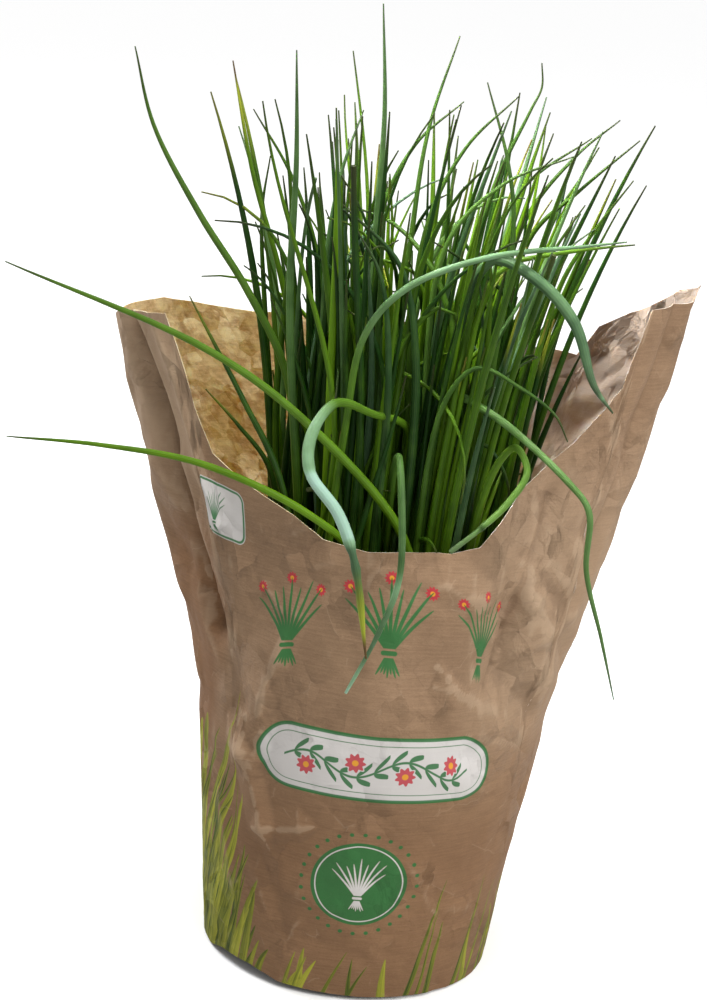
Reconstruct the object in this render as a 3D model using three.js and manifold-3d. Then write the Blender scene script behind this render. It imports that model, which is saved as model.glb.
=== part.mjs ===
// A chive plant as it is sold: a tapered nursery pot full of soil, seven tufts of round hollow
// leaves that grow from it, and a kraft paper sleeve that stands round the pot and holds the
// leaves upright. The sleeve has a low cut-out in front and a tall back.
// Millimetres, +Z up, front towards -Y. The origin is the middle of the pot's flat base.
import * as THREE from 'three';
import Module from 'manifold-3d';
import { mergeVertices } from 'three/addons/utils/BufferGeometryUtils.js';

const wasm = await Module();
wasm.setup();

// Pot
const potHeight = 98;
const potBaseRadius = 43;
const potNeckRadius = 56.3; // under the rim band
const potRimRadius = 58.8;
const rimBand = 12;
const potWall = 1.5;
const rimWall = 2;
const potFloor = 2;
const footBevel = 1.5;
const rimBevel = 0.5;
const potSides = 44;
const drainHoles = 8;
const drainRadius = 4.5;
const drainRing = 35;
const drainSides = 8;

// Soil
const gap = 0.3; // between pieces that touch
const soilLevel = 87;
const soilLump = 0.9; // height of its waves
const soilSlope = 2; // how much lower it is at the pot's wall
const soilRings = [46, 30, 14]; // radii where it is lumpy
const soilMiddle = 4; // radius of its flat middle
const soilSides = 32;

// Tufts: one in the middle and a ring of six
const tuftRing = 28.5;
const tuftRadius = 13;
const tuftBottom = 70;
const tuftTop = 92;
const tuftSides = 16;
const tufts = [{ x: 0, y: 0 }];
for (let i = 0; i < 6; i += 1) {
  const angle = i * Math.PI / 3;
  tufts.push({ x: tuftRing * Math.cos(angle), y: tuftRing * Math.sin(angle) });
}

// Leaves
const rootLevel = 84;
const rootReach = 10.6; // furthest root from its tuft's axis
const leavesPerTuft = 27;
const leafSeed = 11;
const triesPerLeaf = 80;
const leafRadius = { thin: 1.15, thick: 1.5, tip: 0.5 };
const leafTaper = 2.6; // power of the taper: full for long, then quickly to the tip
const tipLow = 222;
const tipHigh = 306;
const fanLevel = 300; // height where the leaves have spread by fanOut
const fanOut = 0.82;
const fanPower = 2.6;
const leanMost = 31;
const swayMost = 3.2;
const bunchLean = 7; // of all the leaves towards +X at fanLevel
const leafGap = 0.7;
const gapInTuft = 0.35;
const testStep = 5; // height between two places where leaves are held apart
const placesPerSpan = 24; // test places between two bends of a leaf that looks out
const leafStations = [84, 112, 140, 168, 194, 218, 240, 260, 280];

// Sleeve
const paperWall = 0.8;
const sleeveStep = 7.5; // degrees between two columns, more often where the edge bends
const sleeveRows = 9;
const foldArc = 78 * Math.PI / 180; // length of one degree round the sleeve, for folds

// Plan of the sleeve: height, reach to the left and the right corner, depth to the front and the
// back, and how far the corners are drawn out, from 0 for a round plan.
const sleeveSections = [
  [0, 52, 52, 49.5, 52, 0],
  [50, 56.5, 57, 55.5, 56, 0],
  [85, 60, 62, 60, 60, 0],
  [100, 61, 63, 61, 61, 0],
  [135, 70, 71, 59, 59, 0.15],
  [170, 83, 79, 56, 57, 0.3],
  [220, 100, 89, 50, 52, 0.5],
  [260, 111, 96, 44, 46, 0.65],
];

// Upper edge of the sleeve: angle and height. 180 is the left corner, 270 the front, 360 the
// right corner and 450 the back.
const sleeveEdge = [
  [180, 222], [206, 228], [221, 231], [222.5, 222], [224.5, 202], [228, 188], [238, 181],
  [249, 175], [256, 169], [266, 167.5], [286, 167.5], [293, 170], [297, 178], [301, 189],
  [313, 203.5], [324, 221], [326, 234], [327, 247], [351, 248], [360, 253.5], [377, 250],
  [395, 237], [402, 230], [405, 219], [410, 221.5], [416, 218.5], [450, 219], [481, 219.5],
  [494, 222.5], [507, 226], [525, 225], [540, 222],
];

// Lower edge of the sleeve: angle and height. It lifts a little off the ground in front.
const sleeveFoot = [
  [180, 0.4], [205, 1], [215, 4], [232, 4.5], [245, 2.4], [290, 1.6], [330, 0.4], [540, 0.4],
];

// Folds in the paper: from angle and height, to angle and height, depth (positive is outwards)
// and half the width.
const sleeveFolds = [
  [203, 232, 214, 128, -7, 11],
  [216, 232, 226, 165, 3, 9],
  [311, 185, 305, 122, -4, 12],
  [326, 165, 330, 112, 2.5, 8],
  [340, 250, 332, 130, -2.5, 12],
  [410, 222, 404, 150, -11, 12],
  [424, 224, 420, 160, 5, 12],
  [392, 240, 380, 170, 4, 14],
];

// Leaves that stand out of the mass, each by its tuft, its radius and the places it goes
// through, from the root to the tip. Tuft 0 is the middle one, 1 to 6 go round from +X.
const lookOutLeaves = [
  // long straight leaf to the upper left
  { tuft: 6, radius: 1.5, path: [
    [11, -31, 84], [12, -36, 130], [5, -41, 167], [-28, -47, 203], [-62, -52, 226],
    [-128, -56, 249],
  ] },
  // low leaf over the front left edge
  { tuft: 5, radius: 1.4, path: [
    [-8, -32, 84], [-6, -40, 130], [-11, -48, 162], [-28, -56, 178], [-62, -61, 192],
    [-94, -62, 195], [-124, -60, 194],
  ] },
  // thick pale leaf, bent down towards the front, its end shrivelled
  { tuft: 5, radius: 2.1, path: [
    [-10, -21, 84], [-6, -23, 150], [3, -29, 200], [-10, -46, 210], [-22, -61, 216],
    [-28, -72, 208], [-27, -81, 199], [-17, -92, 190], [-11, -97, 178], [-4, -88, 143],
  ] },
  // thin leaf that hangs over the front
  { tuft: 0, radius: 1.2, path: [
    [0, -9, 84], [0, -20, 140], [-1, -38, 188], [0, -51, 198], [2, -61, 188], [4, -66, 160],
    [2, -68, 143], [-3, -67, 122],
  ] },
  // leaf with a kink that hangs over the front right edge
  { tuft: 6, radius: 1.4, path: [
    [17, -17, 84], [16, -19, 150], [14, -28, 213], [27, -40, 213], [53, -66, 200], [60, -71, 193],
    [62, -70, 173], [70, -68, 150], [77, -66, 129],
  ] },
  // pale arch across the front
  { tuft: 5, radius: 1.5, path: [
    [-19, -31, 84], [-20, -37, 150], [-18, -43, 205], [-15, -46, 235], [-4, -50, 252],
    [19, -49, 264], [52, -41, 270], [64, -38, 272],
  ] },
  // thick arch to the right
  { tuft: 6, radius: 1.9, path: [
    [20, -27, 84], [18, -26, 160], [15, -29, 235], [23, -39, 262], [38, -47, 258], [50, -52, 247],
    [58, -55, 229], [65, -56, 221],
  ] },
  // light leaf broken over the front edge
  { tuft: 6, radius: 1.6, path: [
    [22, -30, 84], [25, -33, 140], [31, -39, 192], [37, -47, 204], [41, -53, 198], [36, -58, 189],
    [28, -63, 181], [19, -66, 173],
  ] },
  // thin leaf that curves out to the right
  { tuft: 6, radius: 1.1, path: [
    [7, -30, 84], [9, -33, 150], [13, -37, 214], [22, -40, 227], [36, -44, 223], [48, -47, 216],
    [53, -48, 208],
  ] },
  // tall leaves, from left to right
  { tuft: 4, radius: 1.5, path: [
    [-25, -8, 84], [-30, -13, 150], [-39, -20, 212], [-54, -23, 240], [-72, -26, 265],
    [-88, -30, 292], [-95, -34, 316],
  ] },
  { tuft: 4, radius: 1.2, path: [
    [-31, 2, 84], [-34, 1, 150], [-41, 0, 227], [-58, 0, 277], [-67, 0, 311],
  ] },
  { tuft: 5, radius: 1.5, path: [
    [-22, -24, 84], [-30, -26, 160], [-40, -30, 239], [-42, -32, 285], [-45, -34, 320],
  ] },
  { tuft: 4, radius: 1.2, path: [
    [-35, 6, 84], [-40, 8, 160], [-50, 10, 228], [-54, 13, 260], [-53, 16, 279],
  ] },
  { tuft: 0, radius: 1.4, path: [
    [-7, -4, 84], [-11, -8, 180], [-15, -10, 265], [-16, -11, 300], [-20, -12, 335],
  ] },
  { tuft: 0, radius: 1.2, path: [
    [0, 4, 84], [-3, 2, 180], [-3, 0, 261], [-1, 7, 295], [6, 15, 325],
  ] },
  { tuft: 2, radius: 1.3, path: [
    [12, 16, 84], [17, 12, 180], [22, 10, 273], [32, 14, 303], [35, 16, 311], [34, 16, 319],
  ] },
  { tuft: 1, radius: 1.2, path: [
    [21, -5, 84], [26, -7, 180], [30, -10, 265], [26, -8, 287], [16, -4, 313],
  ] },
  { tuft: 0, radius: 1.2, path: [
    [7, -6, 84], [3, -14, 180], [1, -20, 265], [11, -17, 293], [26, -16, 311],
  ] },
  { tuft: 2, radius: 1.2, path: [
    [20, 19, 84], [27, 20, 180], [34, 20, 262], [50, 26, 288], [64, 32, 301],
  ] },
  { tuft: 1, radius: 1.2, path: [
    [27, 5, 84], [30, 3, 180], [36, 1, 262], [50, 0, 280], [68, 0, 299],
  ] },
  { tuft: 1, radius: 1.3, path: [
    [33, -6, 84], [38, -11, 180], [47, -15, 251], [56, -15, 271], [66, -15, 288],
  ] },
  { tuft: 6, radius: 1.2, path: [
    [12, -15, 84], [9, -21, 180], [8, -25, 262], [24, -25, 284], [45, -25, 295],
  ] },
  { tuft: 1, radius: 1.1, path: [
    [36, 4, 84], [38, 10, 180], [43, 14, 262], [55, 20, 288],
  ] },
  { tuft: 3, radius: 1.3, path: [
    [-9, 17, 84], [-13, 16, 180], [-15, 15, 258], [-5, 19, 287], [10, 22, 303],
  ] },
  { tuft: 4, radius: 1.3, path: [
    [-20, -4, 84], [-25, -10, 180], [-30, -15, 252], [-28, -10, 280], [-23, -4, 300],
  ] },
  { tuft: 3, radius: 1.2, path: [
    [-18, 30, 84], [-22, 33, 170], [-34, 38, 240], [-46, 42, 268], [-62, 46, 290],
  ] },
  { tuft: 2, radius: 1.2, path: [
    [10, 30, 84], [14, 36, 170], [22, 44, 240], [36, 54, 272], [58, 62, 290],
  ] },
  // dark leaves with blunt tops in front
  { tuft: 6, radius: 1.7, path: [
    [6, -24, 84], [5, -30, 160], [2, -35, 228], [-6, -34, 256], [-26, -36, 274],
  ] },
  { tuft: 5, radius: 1.5, path: [
    [-4, -26, 84], [-5, -36, 160], [-6, -42, 222], [-12, -42, 254], [-21, -42, 268],
  ] },
  // leaves that lean to the left inside the sleeve
  { tuft: 5, radius: 1.3, path: [
    [-21, -30, 84], [-27, -35, 135], [-38, -37, 183], [-52, -32, 206], [-73, -24, 237],
  ] },
  { tuft: 4, radius: 1.2, path: [
    [-33, -7, 84], [-37, -14, 140], [-42, -20, 180], [-54, -19, 194], [-66, -15, 204],
  ] },
];

// One value of a table at x, with smooth turns at its rows; the first column is x.
function smoothRow(table, x) {
  const at = Math.min(Math.max(x, table[0][0]), table[table.length - 1][0]);
  let i = 0;
  while (i < table.length - 2 && at >= table[i + 1][0]) i += 1;
  const slope = (row, column) => {
    const before = table[Math.max(row - 1, 0)];
    const after = table[Math.min(row + 1, table.length - 1)];
    return (after[column] - before[column]) / (after[0] - before[0]);
  };
  const width = table[i + 1][0] - table[i][0];
  const t = (at - table[i][0]) / width;
  return table[i].slice(1).map((value, j) => (
    (2 * t ** 3 - 3 * t ** 2 + 1) * value + (t ** 3 - 2 * t ** 2 + t) * width * slope(i, j + 1)
    + (3 * t ** 2 - 2 * t ** 3) * table[i + 1][j + 1] + (t ** 3 - t ** 2) * width * slope(i + 1, j + 1)
  ));
}

// Height of a table of [x, height] rows at x, with straight lines between the rows.
function straightRow(table, x) {
  let i = 0;
  while (i < table.length - 2 && x >= table[i + 1][0]) i += 1;
  const t = (x - table[i][0]) / (table[i + 1][0] - table[i][0]);
  return table[i][1] + t * (table[i + 1][1] - table[i][1]);
}

// How far the folds push the paper out at an angle and a height.
function foldPush(degrees, z) {
  let push = 0;
  for (const [fromAngle, fromZ, toAngle, toZ, depth, halfWidth] of sleeveFolds) {
    const along = new THREE.Vector2((toAngle - fromAngle) * foldArc, toZ - fromZ);
    const here = new THREE.Vector2((degrees - fromAngle) * foldArc, z - fromZ);
    const t = THREE.MathUtils.clamp(here.dot(along) / along.lengthSq(), 0, 1);
    const away = here.distanceTo(along.multiplyScalar(t));
    push += depth * Math.max(0, 1 - away / halfWidth) ** 2;
  }
  return push;
}

// Outer face of the sleeve.
function sleevePoint(degrees, z) {
  const [left, right, front, back, point] = smoothRow(sleeveSections, z);
  const angle = THREE.MathUtils.degToRad(degrees);
  const c = Math.cos(angle);
  const s = Math.sin(angle);
  const depth = s < 0 ? front : back;
  const out = new THREE.Vector3(c / (left + right), s / (front + back), 0).normalize();
  const place = new THREE.Vector3((right - left) / 2 + (right + left) / 2 * c,
    depth * s * Math.abs(s) ** point, z);
  return place.addScaledVector(out, foldPush(degrees, z));
}

// Unit vector square to the sleeve's outer face.
function sleeveNormal(degrees, z) {
  const round = sleevePoint(degrees + 1, z).sub(sleevePoint(degrees - 1, z));
  const up = sleevePoint(degrees, z + 1).sub(sleevePoint(degrees, z - 1));
  return round.cross(up).normalize();
}

// Room between a place and the sleeve's face, about, in its own height; below zero is outside.
function roomInSleeve(x, y, z) {
  const [left, right, front, back, point] = smoothRow(sleeveSections, z);
  const u = (x - (right - left) / 2) / ((right + left) / 2);
  const v = Math.abs(y) / (y < 0 ? front : back);
  const rounded = v ** (1 / (1 + point));
  let degrees = THREE.MathUtils.radToDeg(Math.atan2(y < 0 ? -rounded : rounded, u));
  if (degrees < 180) degrees += 360;
  if (z > straightRow(sleeveEdge, degrees) + 3) return Infinity;
  return (1 - Math.hypot(u, rounded)) * Math.min(front, back) + Math.min(0, foldPush(degrees, z));
}

// A closed mesh of rings of places. Each ring is joined to the next, and the first and the last
// ring are closed by flat caps, unless the rings close on themselves.
function ringsToGeometry(rings, closed = false) {
  const count = rings[0].length;
  const positions = rings.flat().flatMap((p) => [p.x, p.y, p.z]);
  const index = [];
  const joints = closed ? rings.length : rings.length - 1;
  for (let i = 0; i < joints; i += 1) {
    const low = i * count;
    const high = ((i + 1) % rings.length) * count;
    for (let j = 0; j < count; j += 1) {
      const next = (j + 1) % count;
      index.push(low + j, low + next, high + next, low + j, high + next, high + j);
    }
  }
  if (!closed) {
    const last = (rings.length - 1) * count;
    for (let j = 1; j < count - 1; j += 1) {
      index.push(0, j + 1, j, last, last + j, last + j + 1);
    }
  }
  const geometry = new THREE.BufferGeometry();
  geometry.setAttribute('position', new THREE.Float32BufferAttribute(positions, 3));
  geometry.setIndex(index);
  return geometry;
}

function toSolid(geometry) {
  const bare = geometry.clone();
  bare.deleteAttribute('normal');
  bare.deleteAttribute('uv');
  const merged = mergeVertices(bare, 1e-4);
  return new wasm.Manifold(new wasm.Mesh({
    numProp: 3,
    vertProperties: new Float32Array(merged.attributes.position.array),
    triVerts: new Uint32Array(merged.index.array),
  }));
}

function toGeometry(solid) {
  const mesh = solid.getMesh();
  const geometry = new THREE.BufferGeometry();
  geometry.setAttribute('position', new THREE.BufferAttribute(new Float32Array(mesh.vertProperties), 3));
  geometry.setIndex(new THREE.BufferAttribute(new Uint32Array(mesh.triVerts), 1));
  return geometry;
}

// A turned solid from [radius, z] places that start and end on the axis, from the bottom up.
function turned(profile, sides) {
  const geometry = new THREE.LatheGeometry(profile.map(([r, z]) => new THREE.Vector2(r, z)), sides);
  return geometry.rotateX(Math.PI / 2);
}

function upright(radius, bottom, top, x, y, sides) {
  const geometry = new THREE.CylinderGeometry(radius, radius, top - bottom, sides);
  return geometry.rotateX(Math.PI / 2).translate(x, y, (top + bottom) / 2);
}

// Tapered pot with a rim band and drain holes through the foot of its wall and its floor.
function makePot() {
  const bandFoot = potHeight - rimBand;
  const outside = [
    [0, 0],
    [potBaseRadius - footBevel, 0],
    [potBaseRadius, footBevel],
    [potNeckRadius, bandFoot],
    [potRimRadius - rimBevel, bandFoot + 1],
    [potRimRadius, potHeight - 1],
    [potRimRadius - rimBevel, potHeight],
  ];
  const inside = [
    [potRimRadius - rimWall, potHeight],
    [potRimRadius - rimWall - 0.2, bandFoot + 2.5],
    [potNeckRadius - potWall, bandFoot],
    [potBaseRadius - potWall, potFloor],
    [0, potFloor],
  ];
  let pot = toSolid(turned(outside.concat(inside), potSides));
  for (let i = 0; i < drainHoles; i += 1) {
    const angle = 2 * Math.PI * (i + 0.5) / drainHoles;
    const x = drainRing * Math.cos(angle);
    const y = drainRing * Math.sin(angle);
    const hole = upright(drainRadius, -1, potFloor + 1, x, y, drainSides);
    pot = pot.subtract(toSolid(hole));
  }
  return toGeometry(pot);
}

// Soil that fills the pot, with a gently lumpy top and a plain hole under each tuft.
function makeSoil() {
  const wallAt = (z) => {
    const t = (z - potFloor) / (potHeight - rimBand - potFloor);
    return THREE.MathUtils.lerp(potBaseRadius, potNeckRadius, t) - potWall - gap;
  };
  const bottom = potFloor + gap;
  const edge = soilLevel - soilSlope;
  const ring = (radius, z, lump) => Array.from({ length: soilSides }, (_, i) => {
    const angle = 2 * Math.PI * i / soilSides;
    const wave = Math.sin(3 * angle + radius / 7) + Math.sin(7 * angle - radius / 5);
    return new THREE.Vector3(radius * Math.cos(angle), radius * Math.sin(angle), z + lump * wave / 2);
  });
  let soil = toSolid(ringsToGeometry([
    ring(wallAt(bottom), bottom, 0),
    ring(wallAt(edge) - 0.4, edge, 0),
    ...soilRings.map((radius) => ring(radius, soilLevel, soilLump)),
    ring(soilMiddle, soilLevel, 0),
  ]));
  for (const { x, y } of tufts) {
    const hole = upright(tuftRadius + gap + 0.1, tuftBottom - gap, soilLevel + 10, x, y, 14);
    soil = soil.subtract(toSolid(hole));
  }
  return toGeometry(soil);
}

// Even random numbers from 0 to 1 that are the same each time.
function seededRandom(seed) {
  let state = seed >>> 0;
  return () => {
    state = (state + 0x6d2b79f5) >>> 0;
    let t = Math.imul(state ^ (state >>> 15), state | 1);
    t = (t + Math.imul(t ^ (t >>> 7), t | 61)) ^ t;
    return ((t ^ (t >>> 14)) >>> 0) / 4294967296;
  };
}

// One leaf of the mass, as drawn by chance.
function draftLeaf(tuft, random) {
  const turn = 2 * Math.PI * random();
  const reach = rootReach * Math.sqrt(random());
  return {
    tuft,
    x: tufts[tuft].x + reach * Math.cos(turn),
    y: tufts[tuft].y + reach * Math.sin(turn),
    tip: tipLow + (tipHigh - tipLow) * random(),
    radius: leafRadius.thin + (leafRadius.thick - leafRadius.thin) * random(),
    lean: leanMost * random() ** 1.5,
    heading: 2 * Math.PI * random(),
    sway: swayMost * random(),
    phase: 2 * Math.PI * random(),
  };
}

// Middle of a leaf of the mass at a height: it fans out, leans and sways as it rises.
function leafMiddle(leaf, z) {
  const rise = (z - rootLevel) / (fanLevel - rootLevel);
  const fan = 1 + fanOut * rise ** fanPower;
  const lean = leaf.lean * rise ** 2;
  const sway = leaf.sway * Math.min(1, 3 * rise) * Math.sin(7 * rise + leaf.phase);
  const c = Math.cos(leaf.heading);
  const s = Math.sin(leaf.heading);
  return {
    x: leaf.x * fan + bunchLean * rise ** 2 + lean * c - sway * s,
    y: leaf.y * fan + lean * s + sway * c,
  };
}

// Radius of a leaf, part 0 at its root and 1 at its tip.
function taper(radius, part) {
  return leafRadius.tip + (radius - leafRadius.tip) * (1 - part ** leafTaper);
}

function lookOutCurve(leaf) {
  return new THREE.CatmullRomCurve3(leaf.path.map((p) => new THREE.Vector3(...p)), false, 'centripetal');
}

// The leaves of the mass: each is drawn again until it is clear of the others, of the leaves
// that look out and of the sleeve, or left out.
function placeLeaves() {
  const random = seededRandom(leafSeed);
  const lookOutPlaces = lookOutLeaves.flatMap((leaf) => {
    const places = lookOutCurve(leaf).getPoints(placesPerSpan * (leaf.path.length - 1));
    return places.map((p) => ({ p, tuft: leaf.tuft, radius: leaf.radius }));
  });
  const levels = [];
  for (let z = tuftTop; z < tipHigh + testStep; z += testStep) {
    levels.push({ z, near: lookOutPlaces.filter(({ p }) => Math.abs(p.z - z) < testStep) });
  }
  const placed = [];
  const isClear = (leaf) => {
    const trail = levels.filter(({ z }) => z < leaf.tip + testStep).map(({ z, near }) => {
      const part = Math.min(1, (z - rootLevel) / (leaf.tip - rootLevel));
      return { ...leafMiddle(leaf, z), z, near, radius: taper(leaf.radius, part) };
    });
    leaf.trail = trail;
    for (const other of placed) {
      const space = other.tuft === leaf.tuft ? gapInTuft : leafGap;
      const shared = Math.min(trail.length, other.trail.length);
      for (let i = 0; i < shared; i += 1) {
        const a = trail[i];
        const b = other.trail[i];
        if (Math.hypot(a.x - b.x, a.y - b.y) < a.radius + b.radius + space) return false;
      }
    }
    for (const a of trail) {
      for (const { p, tuft, radius } of a.near) {
        const space = tuft === leaf.tuft ? gapInTuft : leafGap;
        if (Math.hypot(a.x - p.x, a.y - p.y, a.z - p.z) < a.radius + radius + space) return false;
      }
      if (roomInSleeve(a.x, a.y, a.z) < a.radius + paperWall + 1) return false;
    }
    return true;
  };
  for (let round = 0; round < leavesPerTuft; round += 1) {
    for (let tuft = 0; tuft < tufts.length; tuft += 1) {
      for (let attempt = 0; attempt < triesPerLeaf; attempt += 1) {
        const leaf = draftLeaf(tuft, random);
        if (isClear(leaf)) {
          placed.push(leaf);
          break;
        }
      }
    }
  }
  return placed;
}

// Three-sided leaf of the mass, cut level at its stations.
function massLeafGeometry(leaf) {
  const heights = leafStations.filter((z) => z < leaf.tip - 8).concat(leaf.tip);
  return ringsToGeometry(heights.map((z) => {
    const middle = leafMiddle(leaf, z);
    const radius = taper(leaf.radius, (z - rootLevel) / (leaf.tip - rootLevel));
    return [0, 1, 2].map((side) => {
      const angle = leaf.phase + 2 * Math.PI * side / 3;
      return new THREE.Vector3(middle.x + radius * Math.cos(angle), middle.y + radius * Math.sin(angle), z);
    });
  }));
}

// Four-sided leaf along a curve, with more steps where its path has more places.
function lookOutGeometry(leaf) {
  const curve = lookOutCurve(leaf);
  const steps = (leaf.path.length - 1) * 2;
  const frames = curve.computeFrenetFrames(steps);
  const rings = Array.from({ length: steps + 1 }, (_, i) => {
    const part = i / steps;
    const middle = curve.getPointAt(part);
    const radius = taper(leaf.radius, part);
    return [0, 1, 2, 3].map((side) => {
      const angle = Math.PI * side / 2;
      return middle.clone()
        .addScaledVector(frames.normals[i], radius * Math.cos(angle))
        .addScaledVector(frames.binormals[i], radius * Math.sin(angle));
    });
  });
  return ringsToGeometry(rings);
}

// One tuft: its basal plug with every leaf that grows from it.
function makeTuft(tuft, massLeaves) {
  const plug = turned([
    [0, tuftBottom],
    [tuftRadius - 2, tuftBottom],
    [tuftRadius, tuftBottom + 4],
    [tuftRadius, rootLevel],
    [tuftRadius - 1, tuftTop - 3],
    [tuftRadius - 5, tuftTop - 0.5],
    [0, tuftTop],
  ], tuftSides).translate(tufts[tuft].x, tufts[tuft].y, 0);
  let solid = toSolid(plug);
  for (const leaf of massLeaves.filter((one) => one.tuft === tuft)) {
    solid = solid.add(toSolid(massLeafGeometry(leaf)));
  }
  for (const leaf of lookOutLeaves.filter((one) => one.tuft === tuft)) {
    solid = solid.add(toSolid(lookOutGeometry(leaf)));
  }
  return toGeometry(solid);
}

// The paper sleeve: its outer face, and its inner face one wall behind.
function makeSleeve() {
  const angles = new Set(sleeveEdge.map(([degrees]) => degrees));
  for (let degrees = 180; degrees < 540; degrees += sleeveStep) {
    const crowded = sleeveEdge.some(([other]) => Math.abs(other - degrees) < sleeveStep / 3);
    if (!crowded) angles.add(degrees);
  }
  angles.delete(540);
  const columns = [...angles].sort((a, b) => a - b);
  const ring = (row, depth) => columns.map((degrees) => {
    const foot = straightRow(sleeveFoot, degrees);
    const z = THREE.MathUtils.lerp(foot, straightRow(sleeveEdge, degrees), row / sleeveRows);
    const place = sleevePoint(degrees, z);
    const normal = sleeveNormal(degrees, z);
    if (row === 0 || row === sleeveRows) normal.setZ(0).normalize();
    return place.addScaledVector(normal, -depth);
  });
  const rings = [];
  for (let row = 0; row <= sleeveRows; row += 1) rings.push(ring(row, 0));
  for (let row = sleeveRows; row >= 0; row -= 1) rings.push(ring(row, paperWall));
  return ringsToGeometry(rings, true);
}

const colours = {
  paper: { color: 0xa07c58, roughness: 0.9, metalness: 0 },
  pot: { color: 0x2a2c2b, roughness: 0.55, metalness: 0 },
  soil: { color: 0x2e2218, roughness: 1, metalness: 0 },
  leaf: { color: 0x3f7a24, roughness: 0.5, metalness: 0 },
};

const model = new THREE.Group();

function addPiece(name, geometry, colour) {
  const mesh = new THREE.Mesh(geometry, new THREE.MeshStandardMaterial(colours[colour]));
  mesh.name = name;
  model.add(mesh);
}

addPiece('pot', makePot(), 'pot');
addPiece('soil', makeSoil(), 'soil');
addPiece('paper_sleeve', makeSleeve(), 'paper');
const massLeaves = placeLeaves();
for (let tuft = 0; tuft < tufts.length; tuft += 1) {
  addPiece(`chive_tuft_${tuft + 1}`, makeTuft(tuft, massLeaves), 'leaf');
}

export default model;
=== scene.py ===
import math

import bpy
import numpy as np
from mathutils import Matrix, Vector, geometry


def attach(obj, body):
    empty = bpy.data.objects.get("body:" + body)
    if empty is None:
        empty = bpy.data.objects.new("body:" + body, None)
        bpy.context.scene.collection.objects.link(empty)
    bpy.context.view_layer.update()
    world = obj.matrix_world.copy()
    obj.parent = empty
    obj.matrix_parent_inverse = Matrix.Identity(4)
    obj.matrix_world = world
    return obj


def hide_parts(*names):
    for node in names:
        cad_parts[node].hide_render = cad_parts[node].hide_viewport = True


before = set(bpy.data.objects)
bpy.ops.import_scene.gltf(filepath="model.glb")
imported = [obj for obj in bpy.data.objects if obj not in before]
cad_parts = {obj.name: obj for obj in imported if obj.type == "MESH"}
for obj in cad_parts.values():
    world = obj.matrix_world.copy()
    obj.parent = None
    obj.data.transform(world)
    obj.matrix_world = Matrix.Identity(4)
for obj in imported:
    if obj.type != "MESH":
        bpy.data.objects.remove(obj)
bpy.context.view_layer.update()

# A chive plant in a nursery pot, held upright by a printed kraft paper sleeve.
# The lists of places below are in millimetres and degrees; everything built is in metres.
mm = 0.001
scene = bpy.context.scene
rootBody = "root"


# Shader helpers

def feed(slot, value):
    # Links a field or a socket to a node's input, or sets its value
    if isinstance(value, Field):
        value = value.socket
    if isinstance(value, bpy.types.NodeSocket):
        value.id_data.links.new(value, slot)
    else:
        slot.default_value = value


class Field:
    # A number that changes over a surface: sums written with it become Math nodes
    def __init__(self, socket):
        self.socket = socket
        self.tree = socket.id_data

    def join(self, operation, *others, clamp=False):
        node = self.tree.nodes.new("ShaderNodeMath")
        node.operation = operation
        node.use_clamp = clamp
        for slot, value in zip(node.inputs, (self, *others)):
            feed(slot, value)
        return Field(node.outputs[0])

    def __add__(self, other):
        return self.join("ADD", other)

    def __sub__(self, other):
        return self.join("SUBTRACT", other)

    def __rsub__(self, other):
        return self.join("MULTIPLY_ADD", -1.0, other)

    def __mul__(self, other):
        return self.join("MULTIPLY", other)

    def __truediv__(self, other):
        return self.join("DIVIDE", other)

    def __pow__(self, other):
        return self.join("POWER", other)

    def __abs__(self):
        return self.join("ABSOLUTE")

    __radd__ = __add__
    __rmul__ = __mul__

    def least(self, other):
        return self.join("MINIMUM", other)

    def most(self, other):
        return self.join("MAXIMUM", other)

    def above(self, other):
        return self.join("GREATER_THAN", other)

    def clamped(self):
        return self.join("ADD", 0.0, clamp=True)

    def ramp(self, low, high, smooth=True):
        # 0 at low and 1 at high, however low and high lie
        node = self.tree.nodes.new("ShaderNodeMapRange")
        node.interpolation_type = "SMOOTHSTEP" if smooth else "LINEAR"
        for slot, value in zip(node.inputs, (self, low, high)):
            feed(slot, value)
        return Field(node.outputs[0])


def feedAll(slots, values):
    for name, value in values.items():
        feed(slots[name], value)


def addNode(tree, kind, inputs=None, **settings):
    node = tree.nodes.new(kind)
    for name, value in settings.items():
        setattr(node, name, value)
    feedAll(node.inputs, inputs or {})
    return node


def mixColours(tree, part, first, second, blend="MIX"):
    node = addNode(tree, "ShaderNodeMix", data_type="RGBA", blend_type=blend)
    feedAll(node.inputs, {0: part, 6: first, 7: second})
    return node.outputs[2]


def layered(tree, colour, layers):
    # Colours laid over one another: each layer says where it shows, its colour and, if it isn't plain, its blend
    for part, over, *blend in layers:
        colour = mixColours(tree, part, colour, over, *blend)
    return colour


def splitVector(tree, vector):
    node = addNode(tree, "ShaderNodeSeparateXYZ", {"Vector": vector})
    return [Field(socket) for socket in node.outputs]


def joinVector(tree, x, y, z=0.0):
    return addNode(tree, "ShaderNodeCombineXYZ", {"X": x, "Y": y, "Z": z}).outputs[0]


def noiseField(tree, vector, scale, detail=2.0, roughness=0.5, distortion=0.0):
    node = addNode(tree, "ShaderNodeTexNoise", {
        "Vector": vector, "Scale": scale, "Detail": detail, "Roughness": roughness, "Distortion": distortion})
    return Field(node.outputs["Fac"])


def cellField(tree, vector, scale, feature="F1"):
    node = addNode(tree, "ShaderNodeTexVoronoi", {"Vector": vector, "Scale": scale}, feature=feature)
    return Field(node.outputs["Distance"])


def vectorMath(tree, operation, first, second):
    node = addNode(tree, "ShaderNodeVectorMath", {0: first, 1: second}, operation=operation)
    return node.outputs


def stretch(tree, vector, scales):
    return vectorMath(tree, "MULTIPLY", vector, scales)[0]


def attributeField(tree, name, output="Fac"):
    return Field(addNode(tree, "ShaderNodeAttribute", attribute_name=name).outputs[output])


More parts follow.
